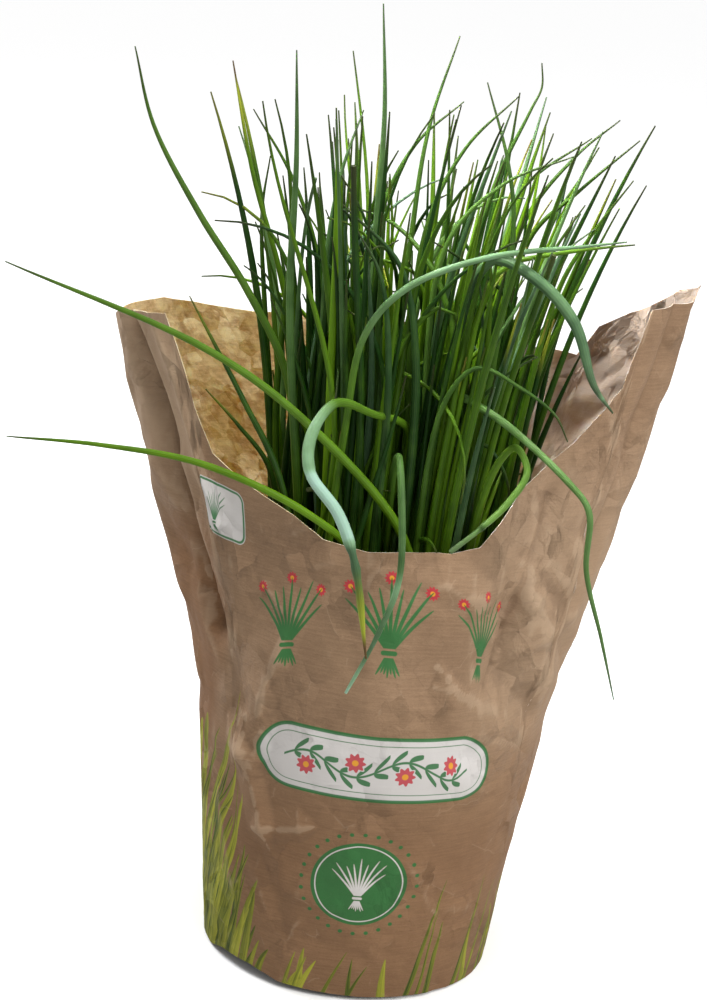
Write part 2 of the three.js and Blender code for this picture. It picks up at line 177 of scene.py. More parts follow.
def newShaderGroup(name, inputs, outputs):
    # inputs: name to default number, or None for a vector; outputs: names of numbers
    tree = bpy.data.node_groups.new(name, "ShaderNodeTree")
    for label, value in inputs.items():
        kind = "NodeSocketVector" if value is None else "NodeSocketFloat"
        socket = tree.interface.new_socket(label, in_out="INPUT", socket_type=kind)
        if value is not None:
            socket.default_value = value
    for label in outputs:
        tree.interface.new_socket(label, in_out="OUTPUT", socket_type="NodeSocketFloat")
    source = tree.nodes.new("NodeGroupInput")
    fields = {s.name: Field(s) if s.type == "VALUE" else s for s in source.outputs if s.name}
    return tree, fields, tree.nodes.new("NodeGroupOutput")


def useGroup(tree, group, inputs):
    node = addNode(tree, "ShaderNodeGroup", inputs, node_tree=group)
    return {socket.name: Field(socket) for socket in node.outputs}


def newMaterial(name, roughness, specular=0.5):
    material = bpy.data.materials.new(name)
    material.use_nodes = True
    tree = material.node_tree
    shader = tree.nodes["Principled BSDF"]
    shader.inputs["Roughness"].default_value = roughness
    shader.inputs["Specular IOR Level"].default_value = specular
    return material, tree, shader


def addBump(tree, shader, height, distance, strength=1.0):
    # distance is the length in metres that 1 in the height field stands for
    node = addNode(tree, "ShaderNodeBump", {"Height": height, "Distance": distance, "Strength": strength})
    feed(shader.inputs["Normal"], node.outputs[0])


def letLightThrough(shader, weight, radius, scale):
    for name, value in (("Weight", weight), ("Radius", radius), ("Scale", scale)):
        shader.inputs["Subsurface " + name].default_value = value


# Camera, lights and floor

cameraSettings = {
    "place": (-0.013, -0.707, 0.390),
    "aim": (-0.013, 0.0, 0.166),
    "roll": 6.0,  # degrees, the view is tipped
    "lens": 77.15,
    "sensor": 36.0,
}

lightSettings = {
    # name: place, aim, size, spread in degrees, watts, colour
    "windowLight": ((-0.8, 0.5, 1.0), (0.0, 0.0, 0.15), 0.6, 180, 15.0, (0.97, 0.98, 1.0)),
    "frontLight": ((1.15, -0.85, 0.95), (0.0, 0.0, 0.15), 0.7, 180, 17.0, (1.0, 0.98, 0.96)),
    "paperLight": ((-0.11, -0.05, 0.6), (0.075, 0.035, 0.2), 0.12, 34, 0.36, (1.0, 0.98, 0.95)),
}
skyLight = {"from": (0.2, -0.2, 1.0), "strength": 1.8, "spread": 50.0}  # spread in degrees

stageSettings = {"floorHalf": 8.0, "floorSeen": (0.97, 0.97, 0.97, 1), "floorLit": (0.5, 0.49, 0.47, 1),
                 "sky": (1.0, 1.0, 1.0, 1), "skyPower": 0.48, "backdropPower": 1.0}


def turnTowards(place, aim, roll=0.0):
    look = (Vector(aim) - Vector(place)).normalized()
    right = look.cross(Vector((0, 0, 1))).normalized()
    up = right.cross(look)
    turn = math.radians(roll)
    side = right * math.cos(turn) + up * math.sin(turn)
    top = up * math.cos(turn) - right * math.sin(turn)
    return Matrix.Translation(place) @ Matrix((side, top, -look)).transposed().to_4x4()


def addToScene(name, data):
    thing = bpy.data.objects.new(name, data)
    scene.collection.objects.link(thing)
    return thing


def buildCamera(settings):
    data = bpy.data.cameras.new("camera")
    data.sensor_fit = "VERTICAL"
    data.sensor_height = settings["sensor"]
    data.lens = settings["lens"]
    camera = addToScene("camera", data)
    camera.matrix_world = turnTowards(settings["place"], settings["aim"], settings["roll"])
    scene.camera = camera


def buildLights(settings):
    for name, (place, aim, size, spread, watts, colour) in settings.items():
        data = bpy.data.lights.new(name, "AREA")
        data.shape = "DISK"
        data.size = size
        data.spread = math.radians(spread)
        data.energy = watts
        data.color = colour
        addToScene(name, data).matrix_world = turnTowards(place, aim)
    data = bpy.data.lights.new("skyLight", "SUN")
    data.energy = skyLight["strength"]
    data.angle = math.radians(skyLight["spread"])
    addToScene("skyLight", data).matrix_world = turnTowards(skyLight["from"], (0.0, 0.0, 0.0))


def buildStage(settings):
    half = settings["floorHalf"]
    mesh = bpy.data.meshes.new("floor")
    mesh.from_pydata([(-half, -half, 0), (half, -half, 0), (half, half, 0), (-half, half, 0)], [], [(0, 1, 2, 3)])
    floor = addToScene("floor", mesh)
    # white where it is seen, darker where it throws light back
    material, tree, shader = newMaterial("paleFloor", 0.9)
    seen = tree.nodes.new("ShaderNodeLightPath").outputs["Is Camera Ray"]
    feed(shader.inputs["Base Color"], mixColours(tree, seen, settings["floorLit"], settings["floorSeen"]))
    mesh.materials.append(material)
    # the sky looks as pale as the floor, but lights less
    world = bpy.data.worlds.new("softSky")
    world.use_nodes = True
    tree = world.node_tree
    seen = tree.nodes.new("ShaderNodeLightPath").outputs["Is Camera Ray"]
    power = addNode(tree, "ShaderNodeMapRange", {
        "Value": seen, "To Min": settings["skyPower"], "To Max": settings["backdropPower"]})
    feedAll(tree.nodes["Background"].inputs, {"Color": settings["sky"], "Strength": power.outputs[0]})
    scene.world = world
    scene.view_settings.view_transform = "Standard"


buildCamera(cameraSettings)
buildLights(lightSettings)
buildStage(stageSettings)
print("camera, lights and floor are ready")


# Paper: fibres and ribs that both faces of the sleeve share

def buildKraftGroup():
    tree, given, out = newShaderGroup("kraftFibre", {"Place": None, "Mottle": 0.5}, ("Tone", "Fleck", "Height"))
    place = given["Place"]
    cloud = noiseField(tree, place, 28, 3.0)
    mottle = noiseField(tree, place, 230, 3.0, 0.6, 0.6)
    ribs = noiseField(tree, stretch(tree, place, (90, 1500, 1)), 1.0, 2.0)
    fibres = noiseField(tree, stretch(tree, place, (1300, 2600, 1)), 1.0, 3.0, 0.6, 1.2)
    tone = 0.30 * cloud + 0.30 * ribs + 0.4 * fibres
    chip = cellField(tree, stretch(tree, place, (420, 700, 1)), 1.0)
    feedAll(out.inputs, {
        "Tone": tone + (mottle - 0.5) * given["Mottle"],
        "Fleck": chip.ramp(0.16, 0.05) * fibres.ramp(0.45, 0.7),
        "Height": 0.55 * ribs + 0.3 * fibres + 0.15 * mottle})
    return tree


# Print: masks in the sleeve's flat plan, with Across from the middle of the front and Up from the foot

inkEdge = 0.12 * mm


def inked(distance):
    # 1 inside an outline and 0 outside, with a thin soft edge
    return distance.ramp(inkEdge, -inkEdge, smooth=False)


def areaMask(across, up, area):
    # 1 in an area of the flat plan and 0 outside: each pair says where it begins and where it is full
    steps = [across.ramp(begin * mm, full * mm) for begin, full in area.get("across", ())]
    steps += [up.ramp(begin * mm, full * mm) for begin, full in area.get("up", ())]
    mask = steps[0]
    for step in steps[1:]:
        mask = mask * step
    return mask


def lengthOf(x, y):
    return (x ** 2.0 + y ** 2.0) ** 0.5


def roundedBox(across, up, middle, half, corner):
    # Signed distance to a box with round corners
    x = abs(across - middle[0]) - (half[0] - corner)
    y = abs(up - middle[1]) - (half[1] - corner)
    return lengthOf(x.most(0.0), y.most(0.0)) + x.most(y).least(0.0) - corner


def buildBladeGroup():
    # A row of printed grass blades, one in each cell of the row
    sizes = {"Across": 0, "Up": 0, "Pitch": 0.006, "Tall": 0.05, "Wide": 0.0015, "Lean": 0.2, "Seed": 1, "Bare": 0}
    tree, given, out = newShaderGroup("printedBlades", sizes, ("Mask", "Shade"))
    pitch = given["Pitch"]
    slanted = given["Across"] - given["Lean"] * given["Up"]
    cell = (slanted / pitch).join("FLOOR")
    dice = addNode(tree, "ShaderNodeTexWhiteNoise", {"Vector": joinVector(tree, cell, given["Seed"])})
    split = splitVector(tree, dice.outputs["Color"])
    tall = given["Tall"] * (0.35 + 0.65 * split[0])
    part = given["Up"] / tall
    middle = (cell + 0.5) * pitch + (split[1] - 0.5) * pitch * 0.9 * part * part
    side = slanted - middle
    half = given["Wide"] * (0.5 + 0.5 * split[2]) * (1.0 - part).most(0.0) ** 0.55
    mask = inked(abs(side) - half) * (1.0 - part).above(0.0) * split[1].above(given["Bare"])
    streaks = noiseField(tree, joinVector(tree, side * 1500.0, given["Up"] * 45.0, cell), 1.0, 2.0, 0.6)
    vein = (side / half).ramp(-1.0, 1.0)
    shade = (0.35 * vein + 0.75 * split[2] + 1.3 * (streaks - 0.5) - 0.05).clamped()
    feedAll(out.inputs, {"Mask": mask, "Shade": shade})
    return tree


def buildBundleGroup():
    # A tied bundle of herb stalks that fans out above its tie, with short ends below
    sizes = {"Across": 0, "Up": 0, "Size": 0.036}
    tree, given, out = newShaderGroup("printedBundle", sizes, ("Mask", "Bloom", "Heart"))
    size = given["Size"]
    across = given["Across"] / size
    up = given["Up"] / size
    reach = lengthOf(across, up)
    turn = across.join("ARCTAN2", up)
    curl = 0.22  # how much the stalks bow outwards
    bent = turn - curl * turn * reach
    step = 0.15  # angle between stalks
    bloomReach = 0.93

    def fan(angle, spread, most, length, width):
        stalk = (angle / spread).join("ROUND").least(most).most(-most)
        dice = addNode(tree, "ShaderNodeTexWhiteNoise", {"W": stalk}, noise_dimensions="1D")
        third = (abs(stalk) / 3.0).join("FRACT")
        carries = (0.1 - third).above(0.0)  # every third stalk carries a bloom
        long = (length * (0.78 + 0.22 * Field(dice.outputs["Value"]))).most(carries * length * bloomReach)
        away = abs(angle - stalk * spread) * reach
        slim = width * (1.0 - reach / long).most(0.0) ** 0.4
        return inked((away - slim) * size) * (long - reach).above(0.0), stalk, carries

    tops, stalk, carries = fan(bent, step, 4.0, 1.0, 0.027)
    ends, _, _ = fan((math.pi - abs(turn)) * turn.join("SIGN"), 0.16, 3.0, 0.34, 0.026)
    tie = inked(roundedBox(across, up, (0.0, 0.0), (0.1, 0.032), 0.03) * size)
    bare = inked(roundedBox(across, up, (0.0, 0.0), (0.14, 0.06), 0.05) * size)
    stalks = tops * up.above(0.0) + ends * (up * -1.0).above(0.0)
    angle = stalk * (step / (1.0 - curl * bloomReach))
    bloomX = angle.join("SINE") * bloomReach
    bloomY = angle.join("COSINE") * bloomReach
    away = lengthOf(across - bloomX, up - bloomY)
    spokes = (across - bloomX).join("ARCTAN2", up - bloomY)
    edge = 0.078 + 0.012 * (spokes * 11.0).join("SINE")
    feedAll(out.inputs, {
        "Mask": (stalks * (1.0 - bare) + tie).clamped(),
        "Bloom": inked((away - edge) * size) * carries,
        "Heart": inked((away - 0.03) * size) * carries})
    return tree


artSettings = {
    "bundles": {"middle": (3, 134), "pitch": 36, "size": 27, "arch": 0.0022},
    "plate": {"middle": (4, 93), "half": (43, 11.5), "corner": 11.5, "line": 1.3, "inner": 2.6},
    "garland": {"pitch": 17, "rise": 3.4, "line": 0.9, "bloom": 3.1, "leaf": 1.3, "reach": 34},
    "disc": {"middle": (2, 48), "radius": 16.5, "dots": 28, "dotRing": 20, "dotRadius": 0.75, "sprout": 17,
             "sproutDrop": 5.5},
    "tag": {"middle": (-68, 170), "half": (15, 9), "corner": 3.5, "line": 0.8, "tilt": -0.12, "sprout": 11.5,
            "sproutDrop": 4.2},
    "grass": {
        # rows from back to front: pitch, blade width, lean, share of the full height, seed
        "rows": ((5.2, 2.9, 0.20, 1.0, 3), (7, 3.4, 0.05, 0.86, 8), (5.8, 2.6, -0.10, 0.6, 5),
                 (4.4, 2.1, 0.30, 0.76, 14), (3.7, 1.6, 0.12, 0.66, 21)),
        "tall": 34, "thick": {"across": ((-146, -104), (-24, -62))}, "thickTall": 84,
        # patches at the right: middle, half width where they begin and where they are full, height
        "rightPatch": (84, 66, 16, 24), "smallPatch": (30, 20, 8, 16),
        "fanned": (-66, -140, 0.5),  # from where the blades lean out, to where they lean most, and how much
    },
}


def scaled(settings):
    # The same settings with lengths in metres
    return {key: tuple(v * mm for v in value) if isinstance(value, tuple) else value * mm
            for key, value in settings.items()}


def flower(across, up, radius):
    # Signed distance, about, to a blossom with nine petals round the origin
    wave = (across.join("ARCTAN2", up) * 9.0).join("SINE") * 0.16 + 1.0
    return lengthOf(across, up) - wave * radius


def printBundles(tree, bundleGroup, across, up):
    # Three tied bundles in an arch
    bundles = scaled(artSettings["bundles"])
    along = across - bundles["middle"][0]
    which = (along / bundles["pitch"]).join("ROUND").least(1.0).most(-1.0)
    return useGroup(tree, bundleGroup, {
        "Across": along - which * bundles["pitch"],
        "Up": up - bundles["middle"][1] + along * along * (artSettings["bundles"]["arch"] / mm),
        "Size": bundles["size"] - abs(which) * 0.003})


def printGarland(x, y):
    # A wavy stem with leaves and blossoms, round the origin: its green, red and yellow ink
    garland = scaled(artSettings["garland"])
    pitch = garland["pitch"]
    stem = y - (x * (math.pi / pitch)).join("SINE") * garland["rise"]
    inReach = (garland["reach"] - abs(x)).above(0.0)

    # blossoms sit by turns above and below the stem
    crest = (x / pitch - 0.5).join("ROUND")
    bloomX = x - (crest + 0.5) * pitch
    side = 1.0 - 2.0 * abs(crest / 2.0 - (crest / 2.0).join("FLOOR")) * 2.0
    bloomY = y + side * garland["rise"] * 0.55
    blossom = flower(bloomX, bloomY, garland["bloom"])
    heart = lengthOf(bloomX, bloomY) - 1.1 * mm

    # three pairs of leaves to a wave
    leafPlace = (x / pitch * 3.0).join("ROUND") * (pitch / 3.0)
    slant = abs(stem) - (x - leafPlace) * 0.9 - 0.6 * mm
    halfLong, halfWide = 2.4 * mm, garland["leaf"]
    bulge = (1.0 - (abs(stem) - halfLong) ** 2.0 / halfLong ** 2.0).most(0.0)
    leaf = inked(abs(slant - 1.2 * mm) - halfWide * bulge) * (4.4 * mm - abs(stem)).above(0.0)
    leaf = leaf * (garland["reach"] - 1 * mm - abs(leafPlace)).above(0.0)

    green = (inked(abs(stem) - garland["line"] / 2) * inReach).most(leaf)
    green = (green * (1.0 - inked(blossom - 0.5 * mm))).clamped()
    return green, inked(blossom) * inReach, inked(heart) * inReach


def printDisc(tree, bundleGroup, across, up):
    # A green disc with a white bundle in it and a ring of dots: the disc, its white ink, the dots, and their ground
    disc = scaled(artSettings["disc"])
    x, y = across - disc["middle"][0], up - disc["middle"][1]
    reach = lengthOf(x, y)
    inside = inked(reach - disc["radius"])
    sprout = useGroup(tree, bundleGroup, {"Across": x, "Up": y + disc["sproutDrop"], "Size": disc["sprout"]})
    line = inked(abs(reach - disc["radius"] + 1.5 * mm) - 0.25 * mm)
    white = (sprout["Mask"].most(line) * inside).clamped()
    count = artSettings["disc"]["dots"]
    spoke = (x.join("ARCTAN2", y) * (count / (2 * math.pi))).join("ROUND") * (2 * math.pi / count)
    fromDot = lengthOf(x - spoke.join("SINE") * disc["dotRing"], y - spoke.join("COSINE") * disc["dotRing"])
    return inside, white, inked(fromDot - disc["dotRadius"]), inked(reach - disc["dotRing"] - 2 * mm)


def printTag(tree, bundleGroup, across, up):
    # A small white tag: its ground and its green ink
    tag = scaled(artSettings["tag"])
    x = across - tag["middle"][0]
    y = up - tag["middle"][1] - x * artSettings["tag"]["tilt"]
    edge = roundedBox(x, y, (0.0, 0.0), tag["half"], tag["corner"])
    sprout = useGroup(tree, bundleGroup, {"Across": x, "Up": y + tag["sproutDrop"], "Size": tag["sprout"]})
    return inked(edge), inked(abs(edge + 0.7 * mm) - tag["line"] / 2).most(sprout["Mask"])


def printGrass(tree, bladeGroup, across, up):
    # Grass along the foot: tall and close at the left, low and thin in the middle
    grass = artSettings["grass"]
    thick = areaMask(across, up, grass["thick"])
    tall = grass["tall"] * mm + grass["thickTall"] * mm * thick
    patches = []
    for middle, begin, full, height in (grass["rightPatch"], grass["smallPatch"]):
        patches.append(abs(across - middle * mm).ramp(begin * mm, full * mm))
        tall = tall + height * mm * patches[-1]
    fanFrom, fanTo, fanMost = grass["fanned"]
    fanned = fanMost * across.ramp(fanFrom * mm, fanTo * mm)
    mask = None
    for pitch, wide, lean, height, seed in grass["rows"]:
        row = useGroup(tree, bladeGroup, {
            "Across": across, "Up": up, "Pitch": pitch * mm, "Tall": tall * height,
            "Wide": wide * mm * (0.72 + 0.45 * thick), "Lean": lean - fanned, "Seed": float(seed),
            "Bare": 0.8 - 0.8 * thick - 0.1 * patches[0]})
        if mask is None:
            mask, shade = row["Mask"], row["Shade"]
        else:
            mask = mask.most(row["Mask"])
            shade = shade * (1.0 - row["Mask"]) + row["Shade"] * row["Mask"]
    return mask, shade


def buildArtGroup(bladeGroup, bundleGroup):
    # All the print on the sleeve's front: where there is green ink, white ink, red ink, yellow ink and grass
    tree, given, out = newShaderGroup(
        "sleevePrint", {"Across": 0, "Up": 0}, ("Green", "White", "Red", "Yellow", "Grass", "GrassShade"))
    across, up = given["Across"], given["Up"]
    bundle = printBundles(tree, bundleGroup, across, up)
    disc, discWhite, dots, discGround = printDisc(tree, bundleGroup, across, up)
    tag, tagGreen = printTag(tree, bundleGroup, across, up)
    grass, shade = printGrass(tree, bladeGroup, across, up)

    # white plate with a green line round it and a garland on it
    plate = scaled(artSettings["plate"])
    edge = roundedBox(across, up, plate["middle"], plate["half"], plate["corner"])
    onPlate = inked(edge)
    line = inked(abs(edge) - plate["line"] / 2).most(inked(abs(edge + plate["inner"]) - 0.15 * mm))
    garland, red, yellow = printGarland(across - plate["middle"][0], up - plate["middle"][1])

    white = (onPlate + tag).clamped()
    onPaper = (bundle["Mask"] + dots + disc * (1.0 - discWhite)) * (1.0 - white)
    onWhite = (line + garland) * onPlate + line * (1.0 - onPlate) + tagGreen * tag
    feedAll(out.inputs, {
        "Green": (onPaper + onWhite).clamped(),
        "White": (white + discWhite).clamped(),
        "Red": (red * onPlate + bundle["Bloom"] * (1.0 - white)).clamped(),
        "Yellow": (yellow * onPlate + bundle["Heart"] * (1.0 - white)).clamped(),
        "Grass": grass * (1.0 - white) * (1.0 - discGround),
        "GrassShade": shade})
    return tree


paperSettings = {
    "light": (0.285, 0.182, 0.106, 1),
    "dark": (0.190, 0.114, 0.064, 1),
    # darker towards the foot: painted shade
    "footShade": (0.84, 0.74, 0.64, 1),
    # darker and warmer in the left fold: painted shade
    "foldShade": (0.76, 0.52, 0.30, 1),
    "fleck": (0.12, 0.07, 0.04, 1),
    # worn: paler paper; on ridges and crease lines rubbed fibre with a painted highlight, on the lit patches painted
    # light
    "worn": (0.41, 0.30, 0.20, 1),
    "shadow": (0.14, 0.085, 0.05, 1),
    "green": (0.010, 0.125, 0.028, 1),
    "white": (0.56, 0.545, 0.535, 1),
    "red": (0.42, 0.018, 0.035, 1),
    "yellow": (0.66, 0.31, 0.02, 1),
    "grassDark": (0.028, 0.055, 0.004, 1),
    "grassLight": (0.33, 0.33, 0.03, 1),
    # the inside made pale and golden: painted glow of light through the paper
    "backlitPale": (0.80, 0.64, 0.42, 1),
    "backlitDeep": (0.47, 0.35, 0.20, 1),
    # greyer and paler at the right inside: painted window light
    "windowLitPale": (0.90, 0.79, 0.70, 1),
    "windowLitDeep": (0.60, 0.49, 0.41, 1),
    # a dark patch high at the right inside: painted shade
    "paintedShadeHigh": (0.21, 0.17, 0.138, 1),
    # areas of painted light and shade, across from the middle of the front and up from the foot
    "litRightSide": {"across": ((18, 60),), "up": ((80, 118), (215, 170))},
    "litHighLeft": {"across": ((-74, -94),), "up": ((165, 195),)},
    "shadedLeftFold": {"across": ((-70, -84), (-132, -108)), "up": ((172, 145), (72, 92))},
    "shadedTowardsFoot": {"up": ((120, 50),)},
    "windowLitSide": {"across": ((-30, 70),)},
    "shadedHighRight": {"across": ((40, 80),), "up": ((170, 212),)},
}


def creaseWearAndShade(tree, colour, settings):
    # Creases: paler where the paper is folded out, rubbed fibre with a painted highlight; darker where it is folded
    # in, painted shade
    crease = attributeField(tree, "crease")
    ridge = crease.ramp(0.1, 0.6)
    valley = (crease * -1.0).ramp(0.12, 0.8)
    return layered(tree, colour, [(ridge * 0.38, settings["worn"]), (valley * 0.3, settings["shadow"])])


def facetSlopes(tree, place, cells):
    # A sheet of flat facets, each tilted its own way; heights in metres for a slope of 1
    node = addNode(tree, "ShaderNodeTexVoronoi", {"Vector": place, "Scale": cells})
    away = vectorMath(tree, "SUBTRACT", place, node.outputs["Position"])[0]
    tilt = vectorMath(tree, "SUBTRACT", node.outputs["Color"], (0.5, 0.5, 0.5))[0]
    return Field(vectorMath(tree, "DOT_PRODUCT", away, tilt)["Value"])


def paperHeight(tree, place, kraft, facets):
    # Facets, fine crumples and ribs, in metres, and a mask of thin paler crease lines, rubbed fibre with a painted
    # highlight; facets is the slope of the facets
    soft = noiseField(tree, place, 110, 3.0, 0.5, 0.8)
    where = noiseField(tree, place, 24).ramp(0.42, 0.6)
    bent = vectorMath(tree, "ADD", place, joinVector(tree, soft * 0.006, soft * -0.004))[0]
    wide, narrow = 70.0, 160.0  # facets in a metre
    sheets = facetSlopes(tree, bent, wide) + facetSlopes(tree, bent, narrow) * 0.7
    lines = cellField(tree, bent, wide, "DISTANCE_TO_EDGE").ramp(0.028, 0.0)
    lines = lines * noiseField(tree, place, 95).ramp(0.55, 0.62)
    return sheets * where * facets + (soft * 0.22 + kraft["Height"] * 0.15) * mm, lines


def buildPrintedPaper(settings, kraftGroup, artGroup):
    material, tree, shader = newMaterial("printedKraft", 0.72, 0.3)
    place = addNode(tree, "ShaderNodeUVMap", uv_map="flatPlan").outputs[0]
    across, up, _ = splitVector(tree, place)
    kraft = useGroup(tree, kraftGroup, {"Place": place, "Mottle": 0.12})
    art = useGroup(tree, artGroup, {"Across": across, "Up": up})
    plain = mixColours(tree, kraft["Tone"].ramp(0.3, 0.7), settings["dark"], settings["light"])
    grass = mixColours(tree, art["GrassShade"], settings["grassDark"], settings["grassLight"])
    litRightSide, litHighLeft, shadedLeftFold, shadedTowardsFoot = (
        areaMask(across, up, settings[name]) for name in ("litRightSide", "litHighLeft", "shadedLeftFold", "shadedTowardsFoot"))
    # painted light: paler at the right, where the paper stands off the pot, and high on the left;
    # painted shade: darker and warmer in the left fold, and darker towards the foot
    colour = layered(tree, plain, [
        (kraft["Fleck"] * 0.6, settings["fleck"]),
        (litRightSide * 0.3 + litHighLeft * 0.45, settings["worn"]),
        (shadedLeftFold * 0.6, settings["foldShade"], "MULTIPLY"),
        (shadedTowardsFoot, settings["footShade"], "MULTIPLY"),
        (art["Grass"] * 0.97, grass)])
    sides = abs(across).ramp(34 * mm, 62 * mm) * 0.3 + 0.75
    height, lines = paperHeight(tree, place, kraft, sides)
    feed(shader.inputs["Base Color"], layered(tree, creaseWearAndShade(tree, colour, settings), [
        # thin crease lines paler: rubbed fibre with a painted highlight
        (lines * 0.2, settings["worn"]),
        (art["White"] * 0.92, settings["white"]),
        (art["Red"] * 0.9, settings["red"]),
        (art["Yellow"] * 0.9, settings["yellow"]),
        (art["Green"] * (0.86 + 0.12 * kraft["Tone"]).clamped(), settings["green"])]))
    covered = (art["Green"] + art["White"] + art["Red"]).clamped()
    feed(shader.inputs["Roughness"], 0.74 - 0.2 * covered + 0.1 * (kraft["Tone"] - 0.5))
    addBump(tree, shader, height, 1.0, 0.68)
    return material


def buildPlainPaper(settings, kraftGroup):
    material, tree, shader = newMaterial("plainKraft", 0.85, 0.2)
    place = addNode(tree, "ShaderNodeUVMap", uv_map="flatPlan").outputs[0]
    kraft = useGroup(tree, kraftGroup, {"Place": place, "Mottle": 1.1})
    across, up, _ = splitVector(tree, place)
    # pale golden kraft: painted glow of light through the paper
    backlitGlow = mixColours(tree, kraft["Tone"].ramp(0.25, 0.75), settings["backlitDeep"], settings["backlitPale"])
    windowLit = mixColours(tree, kraft["Tone"].ramp(0.15, 0.85), settings["windowLitDeep"], settings["windowLitPale"])
    colour = layered(tree, backlitGlow, [
        # greyer and paler at the right: painted window light
        (areaMask(across, up, settings["windowLitSide"]), windowLit),
        # darker high at the right: painted shade
        (areaMask(across, up, settings["shadedHighRight"]) * 0.92, settings["paintedShadeHigh"]),
        (kraft["Fleck"] * 0.5, settings["fleck"])])
    feed(shader.inputs["Base Color"], creaseWearAndShade(tree, colour, settings))
    letLightThrough(shader, 0.5, (1.0, 0.75, 0.5), 1.5 * mm)
    height, _ = paperHeight(tree, place, kraft, 1.3)
    addBump(tree, shader, height, 1.0, 0.75)
    return material


kraftGroup = buildKraftGroup()
artGroup = buildArtGroup(buildBladeGroup(), buildBundleGroup())
printedPaper = buildPrintedPaper(paperSettings, kraftGroup, artGroup)
plainPaper = buildPlainPaper(paperSettings, kraftGroup)
print("paper materials are ready")


# Paper sleeve

sleeveSettings = {
    "frontStep": 0.85,  # degrees from one column to the next
    "backStep": 2.0,
    "rows": 138,
    "paper": 0.35,  # thickness
    "glueFlap": 13.0,  # width of the glued overlap at the back
    "glueStep": 0.45,
    "foldArc": 78 * math.pi / 180,  # length of one degree round the sleeve
    "creaseReach": 2.5,  # a crease's bend is taken over this length
    "seamReach": 60,  # from the middle to the seam
    "loose": (96, 130),  # heights from which the paper leaves the pot and is quite loose
    "sharpFrom": 60,  # degrees: a sharper bend shows as an edge
    # crumples: size of a facet, height, seed
    "crumples": ((27, 3.0, 4), (14, 1.4, 9), (7, 0.4, 2)),
    "calm": ((272, 36), (322, 24)),  # fewer crumples in front and at the right: middle and reach in degrees
    "looseOnly": 20,  # larger facets are only where the paper is loose
}

# height, reach to the left and right corner, depth to the front and back, how drawn out the corners are
sleeveSections = np.array([
    (0, 52, 52, 49.5, 52, 0), (50, 56.5, 57, 55.5, 56, 0), (85, 60, 62, 60, 60, 0), (100, 61, 63, 61, 61, 0),
    (135, 70, 71, 59, 59, 0.15), (170, 83, 79, 56, 57, 0.3), (220, 100, 89, 50, 52, 0.5),
    (260, 111, 96, 44, 46, 0.65)])

# angle and height of the upper edge: 180 is the left corner, 270 the front, 360 the right corner, 450 the back
sleeveEdge = np.array([
    (180, 222), (206, 228), (221, 231), (222.5, 222), (224.5, 202), (228, 188), (238, 181), (249, 175),
    (256, 169), (266, 167.5), (286, 167.5), (293, 170), (297, 178), (301, 189), (313, 203.5), (324, 221),
    (326, 234), (327, 247), (351, 248), (360, 253.5), (377, 250), (395, 237), (402, 230), (405, 219),
    (410, 221.5), (416, 218.5), (450, 219), (481, 219.5), (494, 222.5), (507, 226), (525, 225), (540, 222)])

sleeveFoot = np.array([(180, 0.4), (205, 1), (215, 4), (232, 4.5), (245, 2.4), (290, 1.6), (330, 0.4), (540, 0.4)])

# from angle and height, to angle and height, depth (positive is outwards), half width
sleeveFolds = [
    (203, 232, 214, 128, -7, 11), (216, 232, 226, 165, 3, 9), (311, 185, 305, 122, -4, 12),
    (326, 165, 330, 112, 2.5, 8), (340, 250, 332, 130, -2.5, 12), (410, 222, 404, 150, -11, 12),
    (424, 224, 420, 160, 5, 12), (392, 240, 380, 170, 4, 14)]

